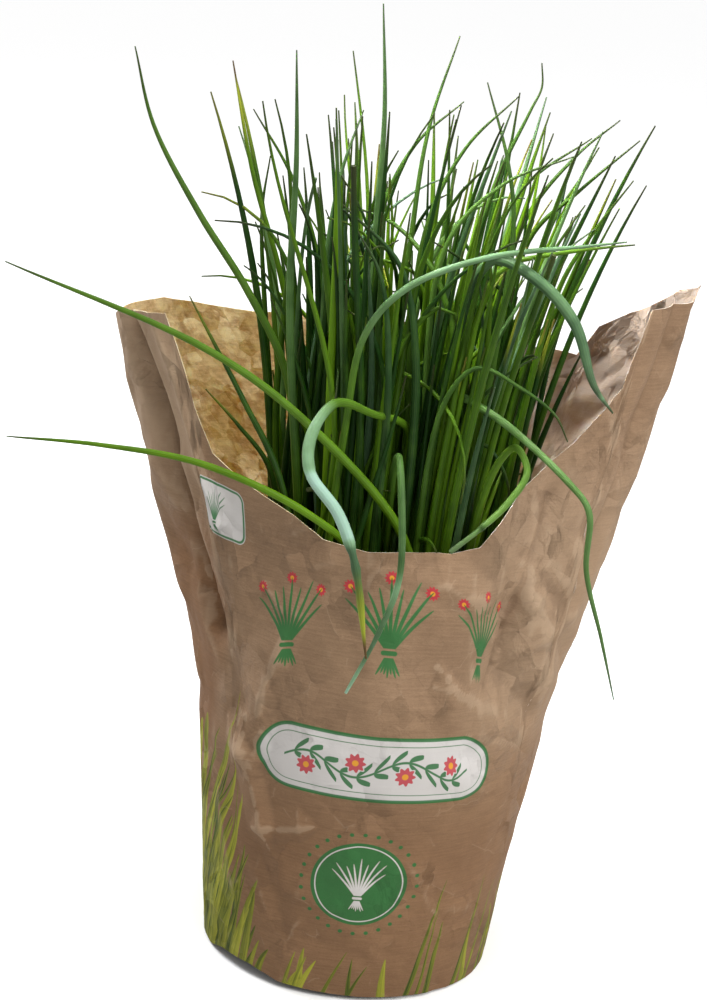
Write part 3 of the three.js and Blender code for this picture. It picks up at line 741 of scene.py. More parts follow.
# finer folds: the same numbers, but the half width is given for both sides of the line
fineFolds = [
    # pleat to the right of the print
    (303.5, 178, 305, 148, -2.0, 14, 6), (305, 148, 310, 123, -2.6, 16, 9), (310, 123, 328, 108, -2.0, 9, 10),
    (309, 164, 312, 149, 1.4, 5, 9), (312, 149, 320, 137, 2.2, 8, 9), (320, 137, 327, 119, 2.4, 9, 10),
    (314.5, 158, 328, 143, -1.8, 8, 5), (328, 143, 338, 138, 1.6, 9, 5), (306, 166, 313, 163, -1.1, 3, 5),
    (304, 104, 322, 98, 1.1, 8, 7), (326, 176, 338, 158, -1.4, 8, 8), (336, 132, 352, 116, -2.4, 9, 9),
    # raised facets low on the left
    (222, 95, 229, 88, 2.0, 8, 6), (229, 88, 237, 62, 3.0, 11, 7), (237, 62, 250, 66, 2.2, 9, 5),
    (211, 86, 227, 89, 1.0, 7, 9), (238, 46, 246, 26, -1.2, 7, 9), (214, 62, 222, 34, 1.2, 8, 8),
    # creases beside and under the print
    (247, 142, 240.5, 125, 1.5, 13, 6), (240.5, 125, 235.5, 110, 1.8, 14, 6.5), (235.5, 110, 234, 94, 1.7, 13, 6.5),
    (234, 94, 231, 84, 1.3, 11, 6), (238, 149, 243, 142, 0.9, 3, 3), (249, 148, 253, 166, -0.8, 7, 8),
    (210, 143, 216, 138, 1.0, 3, 4), (303, 36, 317, 34, 0.8, 5, 6), (300, 46, 306, 30, -0.6, 6, 7),
    (251, 40, 264, 37, 0.9, 6, 9), (254, 24, 277, 18, -0.8, 6, 8), (282.5, 167, 282, 160, -1.0, 5, 9),
    (282.5, 159, 296, 151, 1.2, 6, 9), (286, 130, 290, 126, 0.8, 3, 3), (290, 54, 300, 38, 0.7, 8, 10),
    (296, 92, 309, 84, 0.8, 9, 7), (268, 71, 282, 69, 0.5, 7, 7),
    # left panel
    (188, 199, 204, 202, -1.4, 7, 10), (204, 204, 213, 186, -1.4, 8, 8), (214, 128, 226, 106, -1.6, 8, 9),
    (192, 150, 206, 141, -1.2, 8, 8), (184, 120, 196, 104, 1.0, 8, 8), (196, 176, 208, 168, 1.0, 9, 7),
    # back
    (366, 214, 372, 120, -2.4, 12, 9), (386, 196, 396, 150, 2.0, 12, 9), (398, 206, 420, 186, -2.0, 9, 10),
    (436, 212, 444, 126, 1.5, 10, 12), (470, 214, 476, 128, -1.6, 12, 10), (498, 222, 503, 142, 2.2, 10, 12),
    (516, 204, 530, 172, -1.6, 9, 9), (462, 100, 480, 88, 0.8, 8, 8), (410, 96, 430, 104, 0.8, 8, 8)]


def smoothRow(table, x):
    # One row of a table at each x, with smooth turns at its rows; the first column is x
    heights, values = table[:, 0], table[:, 1:]
    x = np.clip(np.asarray(x, float), heights[0], heights[-1])
    slopes = np.gradient(values, heights, axis=0, edge_order=1)
    slopes[1:-1] = (values[2:] - values[:-2]) / (heights[2:] - heights[:-2])[:, None]
    i = np.clip(np.searchsorted(heights, x, side="right") - 1, 0, len(heights) - 2)
    width = (heights[i + 1] - heights[i])[..., None]
    t = (x - heights[i])[..., None] / width
    return ((2 * t ** 3 - 3 * t ** 2 + 1) * values[i] + (t ** 3 - 2 * t ** 2 + t) * width * slopes[i]
            + (3 * t ** 2 - 2 * t ** 3) * values[i + 1] + (t ** 3 - t ** 2) * width * slopes[i + 1])


def foldPush(degrees, z, folds):
    # How far the folds push the paper out, in millimetres
    arc = sleeveSettings["foldArc"]
    push = np.zeros(np.broadcast(degrees, z).shape)
    for fromAngle, fromZ, toAngle, toZ, depth, halfWidth in folds:
        alongX, alongZ = (toAngle - fromAngle) * arc, toZ - fromZ
        hereX, hereZ = (degrees - fromAngle) * arc, z - fromZ
        t = np.clip((hereX * alongX + hereZ * alongZ) / (alongX ** 2 + alongZ ** 2), 0, 1)
        away = np.hypot(hereX - t * alongX, hereZ - t * alongZ)
        push = push + depth * np.maximum(0, 1 - away / halfWidth) ** 2
    return push


def creasePush(degrees, z, folds):
    # How far the finer folds push the paper out: each is a ridge or valley with flat sides
    arc = sleeveSettings["foldArc"]
    push = np.zeros(degrees.shape)
    for fromAngle, fromZ, toAngle, toZ, depth, leftWidth, rightWidth in folds:
        alongX, alongZ = (toAngle - fromAngle) * arc, toZ - fromZ
        length = math.hypot(alongX, alongZ)
        hereX, hereZ = (degrees - fromAngle) * arc, z - fromZ
        along = (hereX * alongX + hereZ * alongZ) / length
        side = (hereX * alongZ - hereZ * alongX) / length
        width = np.where(side * math.copysign(1, alongZ or 1) < 0, leftWidth, rightWidth)
        past = np.maximum(np.maximum(-along, along - length), 0)
        push = push + depth * np.maximum(0, 1 - np.abs(side) / width - past / leftWidth)
    return push


def sleevePlan(degrees, z):
    # Place on the smooth sleeve and the direction straight out of it, level
    left, right, front, back, point = np.moveaxis(smoothRow(sleeveSections, z), -1, 0)
    angle = np.radians(degrees)
    c, s = np.cos(angle), np.sin(angle)
    place = np.stack([
        (right - left) / 2 + (right + left) / 2 * c, np.where(s < 0, front, back) * s * np.abs(s) ** point, z], -1)
    out = np.stack([c / (left + right), s / (front + back), 0 * c], -1)
    return place, out / np.linalg.norm(out, axis=-1, keepdims=True)


def facetHeights(arc, z, cell, seed):
    # A crumpled sheet: scattered points joined by flat triangles, alike at both ends of the arc.
    # arc has one value for each column, z one for each column and row.
    chance = np.random.default_rng(seed)
    length = arc[-1] - arc[0]
    across = int(round(length / cell))
    step = length / across
    ups = int(z.max() / cell) + 4
    jitter = chance.uniform(-0.42, 0.42, (across, ups, 2))
    height = chance.uniform(-1, 1, (across, ups)) ** 3  # mostly small, so that some facets lie flat
    points = []
    heights = []
    for i in range(-2, across + 2):
        for j in range(ups):
            wobble = jitter[i % across, j]
            points.append(Vector(((i + 0.5 + wobble[0]) * step + arc[0], (j - 1.5 + wobble[1]) * cell)))
            heights.append(height[i % across, j])
    corners, _, triangles, originals, _, _ = geometry.delaunay_2d_cdt(points, [], [], 0, 1e-6)
    values = [heights[source[0]] for source in originals]
    result = np.zeros(z.shape)
    for triangle in triangles:
        (ax, ay), (bx, by), (cx, cy) = (corners[k] for k in triangle)
        low = np.searchsorted(arc, min(ax, bx, cx))
        high = np.searchsorted(arc, max(ax, bx, cx), side="right")
        if low == high:
            continue
        x, y = arc[low:high, None], z[low:high]
        area = (bx - ax) * (cy - ay) - (cx - ax) * (by - ay)
        toB = ((x - ax) * (cy - ay) - (cx - ax) * (y - ay)) / area
        toC = ((bx - ax) * (y - ay) - (x - ax) * (by - ay)) / area
        inside = (toB >= -1e-9) & (toC >= -1e-9) & (toB + toC <= 1 + 1e-9)
        a, b, c = (values[k] for k in triangle)
        patch = a + toB * (b - a) + toC * (c - a)
        result[low:high][inside] = patch[inside]
    return result


def crumplePush(settings, columns, turn, z):
    # Crumples: least where the pot holds the paper, most in the loose upper part and at the back
    looseFrom, looseAt = settings["loose"]
    loose = np.clip((z - looseFrom) / (looseAt - looseFrom), 0, 1)
    front, rightSide = (np.exp(-((turn - middle) / reach) ** 2) for middle, reach in settings["calm"])
    back = np.clip((turn - 362) / 12, 0, 1) * np.clip((480 - turn) / 40, 0, 1)
    amount = (0.5 + 0.6 * loose) * (1 - 0.1 * front) * (1 + 0.8 * back * loose) * (1 - 0.35 * rightSide * loose)
    push = np.zeros(z.shape)
    for cell, height, seed in settings["crumples"]:
        weight = amount * loose if cell > settings["looseOnly"] else amount
        push += facetHeights(columns * settings["foldArc"], z, cell, seed) * height * weight
    return push


def sleeveSurface(settings, columns):
    # The paper's outer face at each column and row: places, how far pushed out, angles and heights
    degrees = np.where(columns < 180, columns + 360, columns)
    top = np.interp(degrees, *sleeveEdge.T)
    foot = np.interp(degrees, *sleeveFoot.T)
    z = foot[:, None] + (top - foot)[:, None] * np.linspace(0, 1, settings["rows"] + 1)
    turn = degrees[:, None] + 0 * z
    place, out = sleevePlan(turn, z)
    folds = foldPush(turn, z, sleeveFolds)
    push = folds + creasePush(turn, z, fineFolds) + crumplePush(settings, columns, turn, z)
    # the paper stays outside the pot's rim
    inwardRoom = 0.65 + 0.2 * np.maximum(0, 82 - z) + 0.4 * np.maximum(0, z - 99)
    push = np.maximum(push, -inwardRoom - np.maximum(0, -folds))
    behind = (450 - turn) * np.radians(1) * settings["seamReach"]
    push += settings["glueStep"] * ((behind > 0.1) & (behind < settings["glueFlap"]))
    push[0] = push[-1]
    return place + out * push[..., None], push, turn, z


def sleeveColumns(settings):
    # Angles from the glued seam at the back, round the front, to the seam again
    plain = np.concatenate([
        np.arange(90, 180, settings["backStep"]), np.arange(180, 360, settings["frontStep"]),
        np.arange(360, 450, settings["backStep"]), [450]])
    corners = sleeveEdge[:, 0]
    corners = np.where(corners > 450, corners - 360, corners)
    return np.array(sorted(set(np.round(plain, 4)) | set(corners)))


def flatLengths(columns, turn, z):
    # Lengths round the flat plan, from the middle of the front
    smooth, _ = sleevePlan(turn, z)
    steps = np.linalg.norm(np.diff(smooth, axis=0), axis=-1)
    across = np.vstack([np.zeros((1, z.shape[1])), np.cumsum(steps, axis=0)])
    return across - across[np.searchsorted(columns, 270)]


def sleeveFaces(count, rows):
    # Outer face, inner face and both rims: the vertices, columns and rows of their corners.
    # The outer face's vertices come first; the last column is the first one again.
    column, row = np.meshgrid(np.arange(count), np.arange(rows - 1), indexing="ij")
    column, row = column.ravel(), row.ravel()
    sideColumns = np.stack([column, column + 1, column + 1, column], 1)
    sideRows = np.stack([row, row, row + 1, row + 1], 1)
    side = sideColumns % count * rows + sideRows
    inner = count * rows  # first vertex of the inner face
    faces = [side, inner + side[:, ::-1]]
    columns = [sideColumns, sideColumns[:, ::-1]]
    levels = [sideRows, sideRows[:, ::-1]]
    ring = np.arange(count)
    for level, order in ((rows - 1, slice(None)), (0, slice(None, None, -1))):
        rim = np.stack([ring, ring + 1, ring + 1, ring], 1)
        faces.append((rim % count * rows + level + [0, 0, inner, inner])[:, order])
        columns.append(rim[:, order])
        levels.append(np.full((count, 4), level))
    return np.concatenate(faces), np.concatenate(columns), np.concatenate(levels)


def buildSleeve(settings):
    columns = sleeveColumns(settings)
    place, push, turn, z = sleeveSurface(settings, columns)
    across = flatLengths(columns, turn, z)

    # inner face, and how sharply the paper bends at each place
    place = place[:-1]
    around = np.roll(place, -1, axis=0) - np.roll(place, 1, axis=0)
    normal = np.cross(around, np.gradient(place, axis=1))
    normal /= np.linalg.norm(normal, axis=-1, keepdims=True)
    inner = place - normal * settings["paper"]
    arc = columns * settings["foldArc"]
    bendAround = -np.gradient(np.gradient(push, arc, axis=0), arc, axis=0)
    bendUp = -np.gradient(np.gradient(push, axis=1), axis=1) / np.gradient(z, axis=1) ** 2
    bend = (bendAround + bendUp)[:-1] * settings["creaseReach"]

    count, rows = place.shape[:2]
    faces, faceColumns, faceRows = sleeveFaces(count, rows)
    mesh = bpy.data.meshes.new("paperSleeve")
    vertices = np.concatenate([place.reshape(-1, 3), inner.reshape(-1, 3)]) * mm
    mesh.from_pydata(vertices.tolist(), [], faces.tolist())
    plan = mesh.uv_layers.new(name="flatPlan")
    flat = np.stack([across[faceColumns, faceRows], np.vstack([z, z[:1]])[faceColumns, faceRows]], -1) * mm
    plan.data.foreach_set("uv", flat.ravel())
    crease = mesh.attributes.new("crease", "FLOAT", "POINT")
    crease.data.foreach_set("value", np.concatenate([bend.ravel(), -bend.ravel()]))
    mesh.materials.append(printedPaper)
    mesh.materials.append(plainPaper)
    outerFaces = count * (rows - 1)
    mesh.polygons.foreach_set("material_index", (np.arange(len(faces)) >= outerFaces).astype(np.int32))
    mesh.shade_smooth()
    mesh.set_sharp_from_angle(angle=math.radians(settings["sharpFrom"]))
    sleeve = addToScene("paperSleeve", mesh)
    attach(sleeve, rootBody)
    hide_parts("paper_sleeve")


buildSleeve(sleeveSettings)
print("paper sleeve is ready")


# Geometry node helpers

def newGeometryTree(name, inputs):
    # inputs: name to (type, default value)
    tree = bpy.data.node_groups.new(name, "GeometryNodeTree")
    tree.interface.new_socket("Geometry", in_out="INPUT", socket_type="NodeSocketGeometry")
    for label, (kind, value) in inputs.items():
        socket = tree.interface.new_socket(label, in_out="INPUT", socket_type="NodeSocket" + kind)
        if value is not None:
            socket.default_value = value
    tree.interface.new_socket("Geometry", in_out="OUTPUT", socket_type="NodeSocketGeometry")
    return tree, tree.nodes.new("NodeGroupInput").outputs, tree.nodes.new("NodeGroupOutput").inputs


def bakeTree(piece, tree, values):
    # Runs a tree on a piece with these inputs and keeps the result as the piece's plain mesh
    modifier = piece.modifiers.new(tree.name, "NODES")
    modifier.node_group = tree
    for item in tree.interface.items_tree:
        if item.item_type == "SOCKET" and item.in_out == "INPUT" and item.name in values:
            modifier[item.identifier] = values[item.name]
    graph = bpy.context.evaluated_depsgraph_get()
    mesh = bpy.data.meshes.new_from_object(piece.evaluated_get(graph), preserve_all_data_layers=True, depsgraph=graph)
    piece.modifiers.remove(modifier)
    old = piece.data
    piece.data = mesh
    mesh.name = piece.name
    bpy.data.meshes.remove(old)


def finishTree(tree, shape, finish, result):
    # Instances made real, in their material, as the tree's result
    real = addNode(tree, "GeometryNodeRealizeInstances", {"Geometry": shape}).outputs[0]
    finished = addNode(tree, "GeometryNodeSetMaterial", {"Geometry": real, "Material": finish}).outputs[0]
    feed(result["Geometry"], finished)


def namedNumber(tree, name):
    node = addNode(tree, "GeometryNodeInputNamedAttribute", {"Name": name}, data_type="FLOAT")
    return Field(node.outputs["Attribute"])


# Leaves: the rule that places them

leafSettings = {
    "rootLevel": 84, "rootReach": 10.6, "perTuft": 27, "seed": 11, "tries": 80,
    "thin": 1.15, "thick": 1.5, "tip": 0.5, "taper": 2.6, "tipLow": 222, "tipHigh": 306,
    "fanLevel": 300, "fanOut": 0.82, "fanPower": 2.6, "leanMost": 31, "swayMost": 3.2, "bunchLean": 7,
    "gap": 0.7, "gapInTuft": 0.35, "firstTest": 92, "testStep": 5, "placesPerSpan": 24, "wall": 0.8,
    "tuftRing": 28.5, "tufts": 7,
}

farOff = 1e6  # a place that nothing comes near

# finer leaves that fill the bunch out
fillSettings = {"perTuft": 16, "seed": 23, "tries": 12, "thin": 0.75, "thick": 1.15, "tipLow": 176, "tipHigh": 312,
                "leanMost": 30, "swayMost": 8, "gap": -0.5, "gapInTuft": -0.5}

# leaves that bend over and cross the others; angles in radians, places along a leaf from 0 to 1
wildSettings = {"perTuft": 22, "seed": 47, "tries": 30, "thin": 0.7, "thick": 1.35, "short": 105, "long": 226,
                "tilt": 0.16, "bend": 1.9, "bendFrom": (0.4, 0.75), "drift": 1.2, "kinkChance": 0.2,
                "kinkPlace": (0.55, 0.9), "kink": (0.5, 1.5), "steps": 30,
                "lowest": (-84, -78, 80), "highest": (78, 66, 322),
                "openOut": 260}  # the tufts open out from the middle: less is wider

# leaves that stand out: tuft, radius, tone, bloom, dry tip, then places from root to tip;
# those that the table of tone and bloom along the leaf names below have no tone and bloom here
lookOutLeaves = [
    (6, 1.5, 0.62, 0.1, 0, [(11, -31, 84), (12, -36, 130), (5, -41, 167), (-28, -47, 203), (-62, -52, 226),
                            (-128, -56, 249)]),
    (5, 1.4, 0.72, 0.0, 0, [(-8, -32, 84), (-6, -40, 130), (-11, -48, 162), (-28, -56, 178), (-62, -61, 192),
                            (-94, -62, 195), (-124, -60, 194)]),
    (5, 2.1, None, None, 1.0, [(-10, -21, 84), (-6, -23, 150), (3, -29, 200), (-10, -46, 210), (-22, -61, 216),
                             (-28, -72, 208), (-27, -81, 199), (-17, -92, 190), (-11, -97, 178), (-4, -88, 143)]),
    (0, 1.2, None, None, 0, [(0, -9, 84), (0, -20, 140), (-1, -38, 188), (0, -51, 198), (2, -61, 188),
                             (4, -66, 162), (-1, -68, 143), (-9, -67, 122)]),
    (6, 1.4, 0.5, 0.38, 0, [(17, -17, 84), (16, -19, 150), (14, -28, 213), (27, -40, 213), (53, -66, 200),
                              (60, -71, 193), (62, -70, 173), (70, -68, 150), (77, -66, 129)]),
    (5, 1.5, None, None, 0, [(-19, -31, 84), (-20, -37, 150), (-18, -43, 205), (-15, -46, 235), (-4, -50, 252),
                            (19, -49, 264), (52, -41, 270), (64, -38, 272)]),
    (6, 1.9, None, None, 0, [(20, -27, 84), (18, -26, 160), (15, -29, 235), (23, -39, 262), (38, -47, 258),
                             (50, -52, 247), (58, -55, 229), (65, -56, 221)]),
    (6, 1.6, None, None, 0, [(22, -30, 84), (25, -33, 140), (31, -39, 192), (37, -47, 204), (41, -53, 198),
                             (36, -58, 189), (28, -63, 181), (19, -66, 173)]),
    (6, 1.1, 0.3, 0.15, 0, [(7, -30, 84), (9, -33, 150), (13, -37, 214), (22, -40, 227), (36, -44, 223),
                           (48, -47, 216), (53, -48, 208)]),
    (4, 1.5, 0.5, 0.15, 0, [(-25, -8, 84), (-30, -13, 150), (-39, -20, 212), (-54, -23, 240), (-72, -26, 265),
                            (-88, -30, 292), (-95, -34, 316)]),
    (4, 1.2, 0.6, 0.0, 1.0, [(-31, 2, 84), (-34, 1, 150), (-41, 0, 227), (-58, 0, 277), (-67, 0, 311)]),
    (5, 1.5, 0.3, 0.3, 0, [(-22, -24, 84), (-30, -26, 160), (-40, -30, 239), (-42, -32, 285), (-45, -34, 320)]),
    (4, 1.2, 0.25, 0.0, 0, [(-35, 6, 84), (-40, 8, 160), (-50, 10, 228), (-54, 13, 260), (-53, 16, 279)]),
    (0, 1.4, 0.35, 0.35, 0, [(-7, -4, 84), (-11, -8, 180), (-15, -10, 265), (-16, -11, 300), (-20, -12, 335)]),
    (0, 1.2, 0.3, 0.1, 0, [(0, 4, 84), (-3, 2, 180), (-3, 0, 261), (-1, 7, 295), (6, 15, 325)]),
    (2, 1.3, 0.3, 0.1, 0, [(12, 16, 84), (17, 12, 180), (22, 10, 273), (32, 14, 303), (35, 16, 311),
                             (34, 16, 319)]),
    (1, 1.2, 0.3, 0.15, 0, [(21, -5, 84), (26, -7, 180), (30, -10, 265), (26, -8, 287), (16, -4, 313)]),
    (0, 1.2, 0.35, 0.1, 0, [(7, -6, 84), (3, -14, 180), (1, -20, 265), (11, -17, 293), (26, -16, 311)]),
    (2, 1.2, 0.3, 0.0, 0, [(20, 19, 84), (27, 20, 180), (34, 20, 262), (50, 26, 288), (64, 32, 301)]),
    (1, 1.2, 0.3, 0.0, 0, [(27, 5, 84), (30, 3, 180), (36, 1, 262), (50, 0, 280), (68, 0, 299)]),
    (1, 1.3, 0.35, 0.0, 0, [(33, -6, 84), (38, -11, 180), (47, -15, 251), (56, -15, 271), (66, -15, 288)]),
    (6, 1.2, 0.45, 0.2, 0, [(12, -15, 84), (9, -21, 180), (8, -25, 262), (24, -25, 284), (45, -25, 295)]),
    (1, 1.1, 0.35, 0.0, 0, [(36, 4, 84), (38, 10, 180), (43, 14, 262), (55, 20, 288)]),
    (3, 1.3, 0.3, 0.1, 0, [(-9, 17, 84), (-13, 16, 180), (-15, 15, 258), (-5, 19, 287), (10, 22, 303)]),
    (4, 1.3, 0.3, 0.3, 0, [(-20, -4, 84), (-25, -10, 180), (-30, -15, 252), (-28, -10, 280), (-23, -4, 300)]),
    (3, 1.2, 0.35, 0.0, 0, [(-18, 30, 84), (-22, 33, 170), (-34, 38, 240), (-46, 42, 268), (-62, 46, 290)]),
    (2, 1.2, 0.3, 0.0, 0, [(10, 30, 84), (14, 36, 170), (22, 44, 240), (36, 54, 272), (58, 62, 290)]),
    (6, 1.7, 0.08, 0.12, 0, [(6, -24, 84), (5, -30, 160), (2, -35, 228), (-6, -34, 256), (-26, -36, 274)]),
    (5, 1.5, 0.1, 0.15, 0, [(-4, -26, 84), (-5, -36, 160), (-6, -42, 222), (-12, -42, 254), (-21, -42, 268)]),
    (5, 1.3, 0.15, 0.0, 0.3, [(-21, -30, 84), (-27, -35, 135), (-38, -37, 183), (-52, -32, 206), (-73, -24, 237)]),
    (4, 1.2, 0.2, 0.0, 0.3, [(-33, -7, 84), (-37, -14, 140), (-42, -20, 180), (-54, -19, 194), (-66, -15, 204)]),
]


# how much thicker some of them are: number of the place along the path, factor
leafSwell = {
    2: [(0, 0.6), (3, 0.62), (4, 0.8), (5, 1.12), (5.9, 1.18), (6, 1.1), (7, 1.35), (7.7, 1.55), (7.95, 0.85),
        (8.1, 1.5), (8.25, 1.1), (8.45, 1.6), (8.8, 1.3), (9, 1.3)],
    3: [(0, 1), (3, 1.05), (4, 1.2), (6, 1.5), (6.2, 1.25), (7, 2.2)],
    5: [(0, 0.8), (3, 0.85), (4, 0.92), (5, 1), (6, 1.1), (7, 1)],
    6: [(0, 0.8), (2, 0.9), (3, 1.15), (4, 1.55), (5, 2), (6, 2.3), (7, 1.4)],
    7: [(0, 0.8), (4, 1), (5, 1.35), (5.9, 1.6), (6, 1.9), (6.1, 1.4), (6.6, 2.2), (7, 3.8)],
}

# how their tone and bloom change along them, with painted highlights and painted shade at their bends: number of the
# place along the path, tone, bloom
leafToneAndSheen = {
    2: [(0, 0.5, 0), (4, 0.55, 0.05), (4.6, 0.5, 0.7), (5.9, 0.5, 0.9), (6.1, 0.5, 1.22), (7.6, 0.5, 1.25),
        (7.8, 0.1, 0.3), (8.4, 0, 0.1), (8.55, 0.4, 0), (9, 0.5, 0)],
    3: [(0, 0.3, 0), (3, 0.3, 0.1), (4.9, 0.25, 0.2), (5.1, 0.4, 0.8), (5.5, 0.2, 0.3), (6.4, 0.2, 0.4),
        (7, 0.5, 1.2)],
    5: [(0, 0.4, 0), (2.6, 0.4, 0.05), (3.6, 0.4, 0.4), (5, 0.4, 0.62), (7, 0.2, 0.3)],
    6: [(0, 0.2, 0.1), (3, 0.2, 0.28), (6.3, 0.16, 0.3), (6.4, 0.9, 0.8), (6.55, 0.2, 0.3), (7, 0.1, 0.1)],
    7: [(0, 0.6, 0), (4, 0.75, 0.1), (5.8, 0.85, 0.22), (6, 0.1, 0), (6.2, 0.85, 0.3), (7, 0.95, 0.25)],
}


def seededRandom(seed):
    # Even random numbers from 0 to 1, the same as in the solid model
    mask = 0xFFFFFFFF
    state = seed

    def draw():
        nonlocal state
        state = (state + 0x6D2B79F5) & mask
        t = ((state ^ (state >> 15)) * (state | 1)) & mask
        t = ((t + ((t ^ (t >> 7)) * (t | 61) & mask)) & mask) ^ t
        return (t ^ (t >> 14)) / (mask + 1)

    return draw


def tuftMiddle(tuft):
    if tuft == 0:
        return 0.0, 0.0
    angle = (tuft - 1) * math.pi / 3
    return leafSettings["tuftRing"] * math.cos(angle), leafSettings["tuftRing"] * math.sin(angle)


def draftLeaf(tuft, draw, sizes):
    turn = 2 * math.pi * draw()
    reach = leafSettings["rootReach"] * math.sqrt(draw())
    x, y = tuftMiddle(tuft)
    return {
        "tuft": tuft, "x": x + reach * math.cos(turn), "y": y + reach * math.sin(turn),
        "tip": sizes["tipLow"] + (sizes["tipHigh"] - sizes["tipLow"]) * draw(),
        "radius": sizes["thin"] + (sizes["thick"] - sizes["thin"]) * draw(),
        "lean": sizes["leanMost"] * draw() ** 1.5, "heading": 2 * math.pi * draw(),
        "sway": sizes["swayMost"] * draw(), "phase": 2 * math.pi * draw()}


def leafMiddle(leaf, z):
    # Middle of a leaf at heights z: it fans out, leans and sways as it rises
    s = leafSettings
    rise = (z - s["rootLevel"]) / (s["fanLevel"] - s["rootLevel"])
    fan = 1 + s["fanOut"] * rise ** s["fanPower"]
    lean = leaf["lean"] * rise ** 2
    sway = leaf["sway"] * np.minimum(1, 3 * rise) * np.sin(7 * rise + leaf["phase"])
    c, n = math.cos(leaf["heading"]), math.sin(leaf["heading"])
    return leaf["x"] * fan + s["bunchLean"] * rise ** 2 + lean * c - sway * n, leaf["y"] * fan + lean * n + sway * c


def tapered(radius, tip, power, part):
    # Nearly even along the leaf at first, then narrower to its tip
    return tip + (radius - tip) * (1 - part ** power)


def curvePoints(path, perSpan):
    # Centripetal Catmull-Rom curve through the path, with its ends carried on straight
    p = np.array(path, float)
    p = np.vstack([2 * p[0] - p[1], p, 2 * p[-1] - p[-2]])
    steps = np.linalg.norm(np.diff(p, axis=0), axis=1) ** 0.5
    t = (np.arange(perSpan) / perSpan)[:, None]
    spans = []
    for i in range(1, len(p) - 2):
        before, here, after = steps[i - 1:i + 2]
        start = (p[i] - p[i - 1]) / before - (p[i + 1] - p[i - 1]) / (before + here) + (p[i + 1] - p[i]) / here
        end = (p[i + 1] - p[i]) / here - (p[i + 2] - p[i]) / (here + after) + (p[i + 2] - p[i + 1]) / after
        start, end = start * here, end * here
        spans.append(p[i] + start * t + (3 * (p[i + 1] - p[i]) - 2 * start - end) * t ** 2
                     + (2 * (p[i] - p[i + 1]) + start + end) * t ** 3)
    return np.vstack([*spans, p[-2:-1]])


def roomInSleeve(x, y, z):
    # Room between places and the sleeve's face, about; endless above its edge
    left, right, front, back, point = np.moveaxis(smoothRow(sleeveSections, z), -1, 0)
    u = (x - (right - left) / 2) / ((right + left) / 2)
    rounded = (np.abs(y) / np.where(y < 0, front, back)) ** (1 / (1 + point))
    turn = np.degrees(np.arctan2(np.where(y < 0, -rounded, rounded), u))
    turn = np.where(turn < 180, turn + 360, turn)
    room = (1 - np.hypot(u, rounded)) * np.minimum(front, back) + np.minimum(0, foldPush(turn, z, sleeveFolds))
    return np.where(z > np.interp(turn, *sleeveEdge.T) + 3, np.inf, room)


def lookOutCrowd(levels):
    # At each level, the leaves that stand out near it: x, y, z, tuft and radius, filled up with far places
    places = np.array([
        (*place, tuft, radius) for tuft, radius, *_, path in lookOutLeaves
        for place in curvePoints(path, leafSettings["placesPerSpan"])])
    near = [places[np.abs(places[:, 2] - z) < leafSettings["testStep"]] for z in levels]
    crowd = np.full((len(levels), max(len(group) for group in near), 5), farOff)
    for level, group in enumerate(near):
        crowd[level, :len(group)] = group
    return crowd


def leafTrail(leaf, levels):
    # x, y and radius at each level, far away above the tip; and the levels that the leaf reaches
    s = leafSettings
    used = levels < leaf["tip"] + s["testStep"]
    part = np.minimum(1, (levels - s["rootLevel"]) / (leaf["tip"] - s["rootLevel"]))
    trail = np.stack([*leafMiddle(leaf, levels), tapered(leaf["radius"], s["tip"], s["taper"], part)], 1)
    trail[~used] = (10 * farOff, 10 * farOff, 0)
    return trail, used


def placeLeaves():
    # The leaves of the solid model first, then the finer ones; each is drawn until it has room
    s = leafSettings
    levels = np.arange(s["firstTest"], s["tipHigh"] + 3 * s["testStep"], s["testStep"], dtype=float)
    crowd = lookOutCrowd(levels)
    placed = []
    trails = np.empty((0, len(levels), 3))
    owners = np.empty(0)

    def isClear(leaf, trail, used, sizes):
        space = np.where(owners == leaf["tuft"], sizes["gapInTuft"], sizes["gap"])[:, None]
        apart = np.hypot(trails[..., 0] - trail[:, 0], trails[..., 1] - trail[:, 1])
        both = (trails[..., 2] > 0) & used
        if np.any(both & (apart < trails[..., 2] + trail[:, 2] + space)):
            return False
        space = np.where(crowd[..., 3] == leaf["tuft"], sizes["gapInTuft"], sizes["gap"])
        away = np.sqrt((crowd[..., 0] - trail[:, None, 0]) ** 2 + (crowd[..., 1] - trail[:, None, 1]) ** 2
                       + (crowd[..., 2] - levels[:, None]) ** 2)
        if np.any(used[:, None] & (away < crowd[..., 4] + trail[:, None, 2] + space)):
            return False
        room = roomInSleeve(trail[used, 0], trail[used, 1], levels[used])
        return not np.any(room < trail[used, 2] + s["wall"] + 1)

    for sizes in (s, {**s, **fillSettings}):
        draw = seededRandom(sizes["seed"])
        for _ in range(sizes["perTuft"]):
            for tuft in range(s["tufts"]):
                for _ in range(sizes["tries"]):
                    leaf = draftLeaf(tuft, draw, sizes)
                    trail, used = leafTrail(leaf, levels)
                    if isClear(leaf, trail, used, sizes):
                        placed.append(leaf)
                        trails = np.concatenate([trails, trail[None]])
                        owners = np.append(owners, tuft)
                        break
    return placed


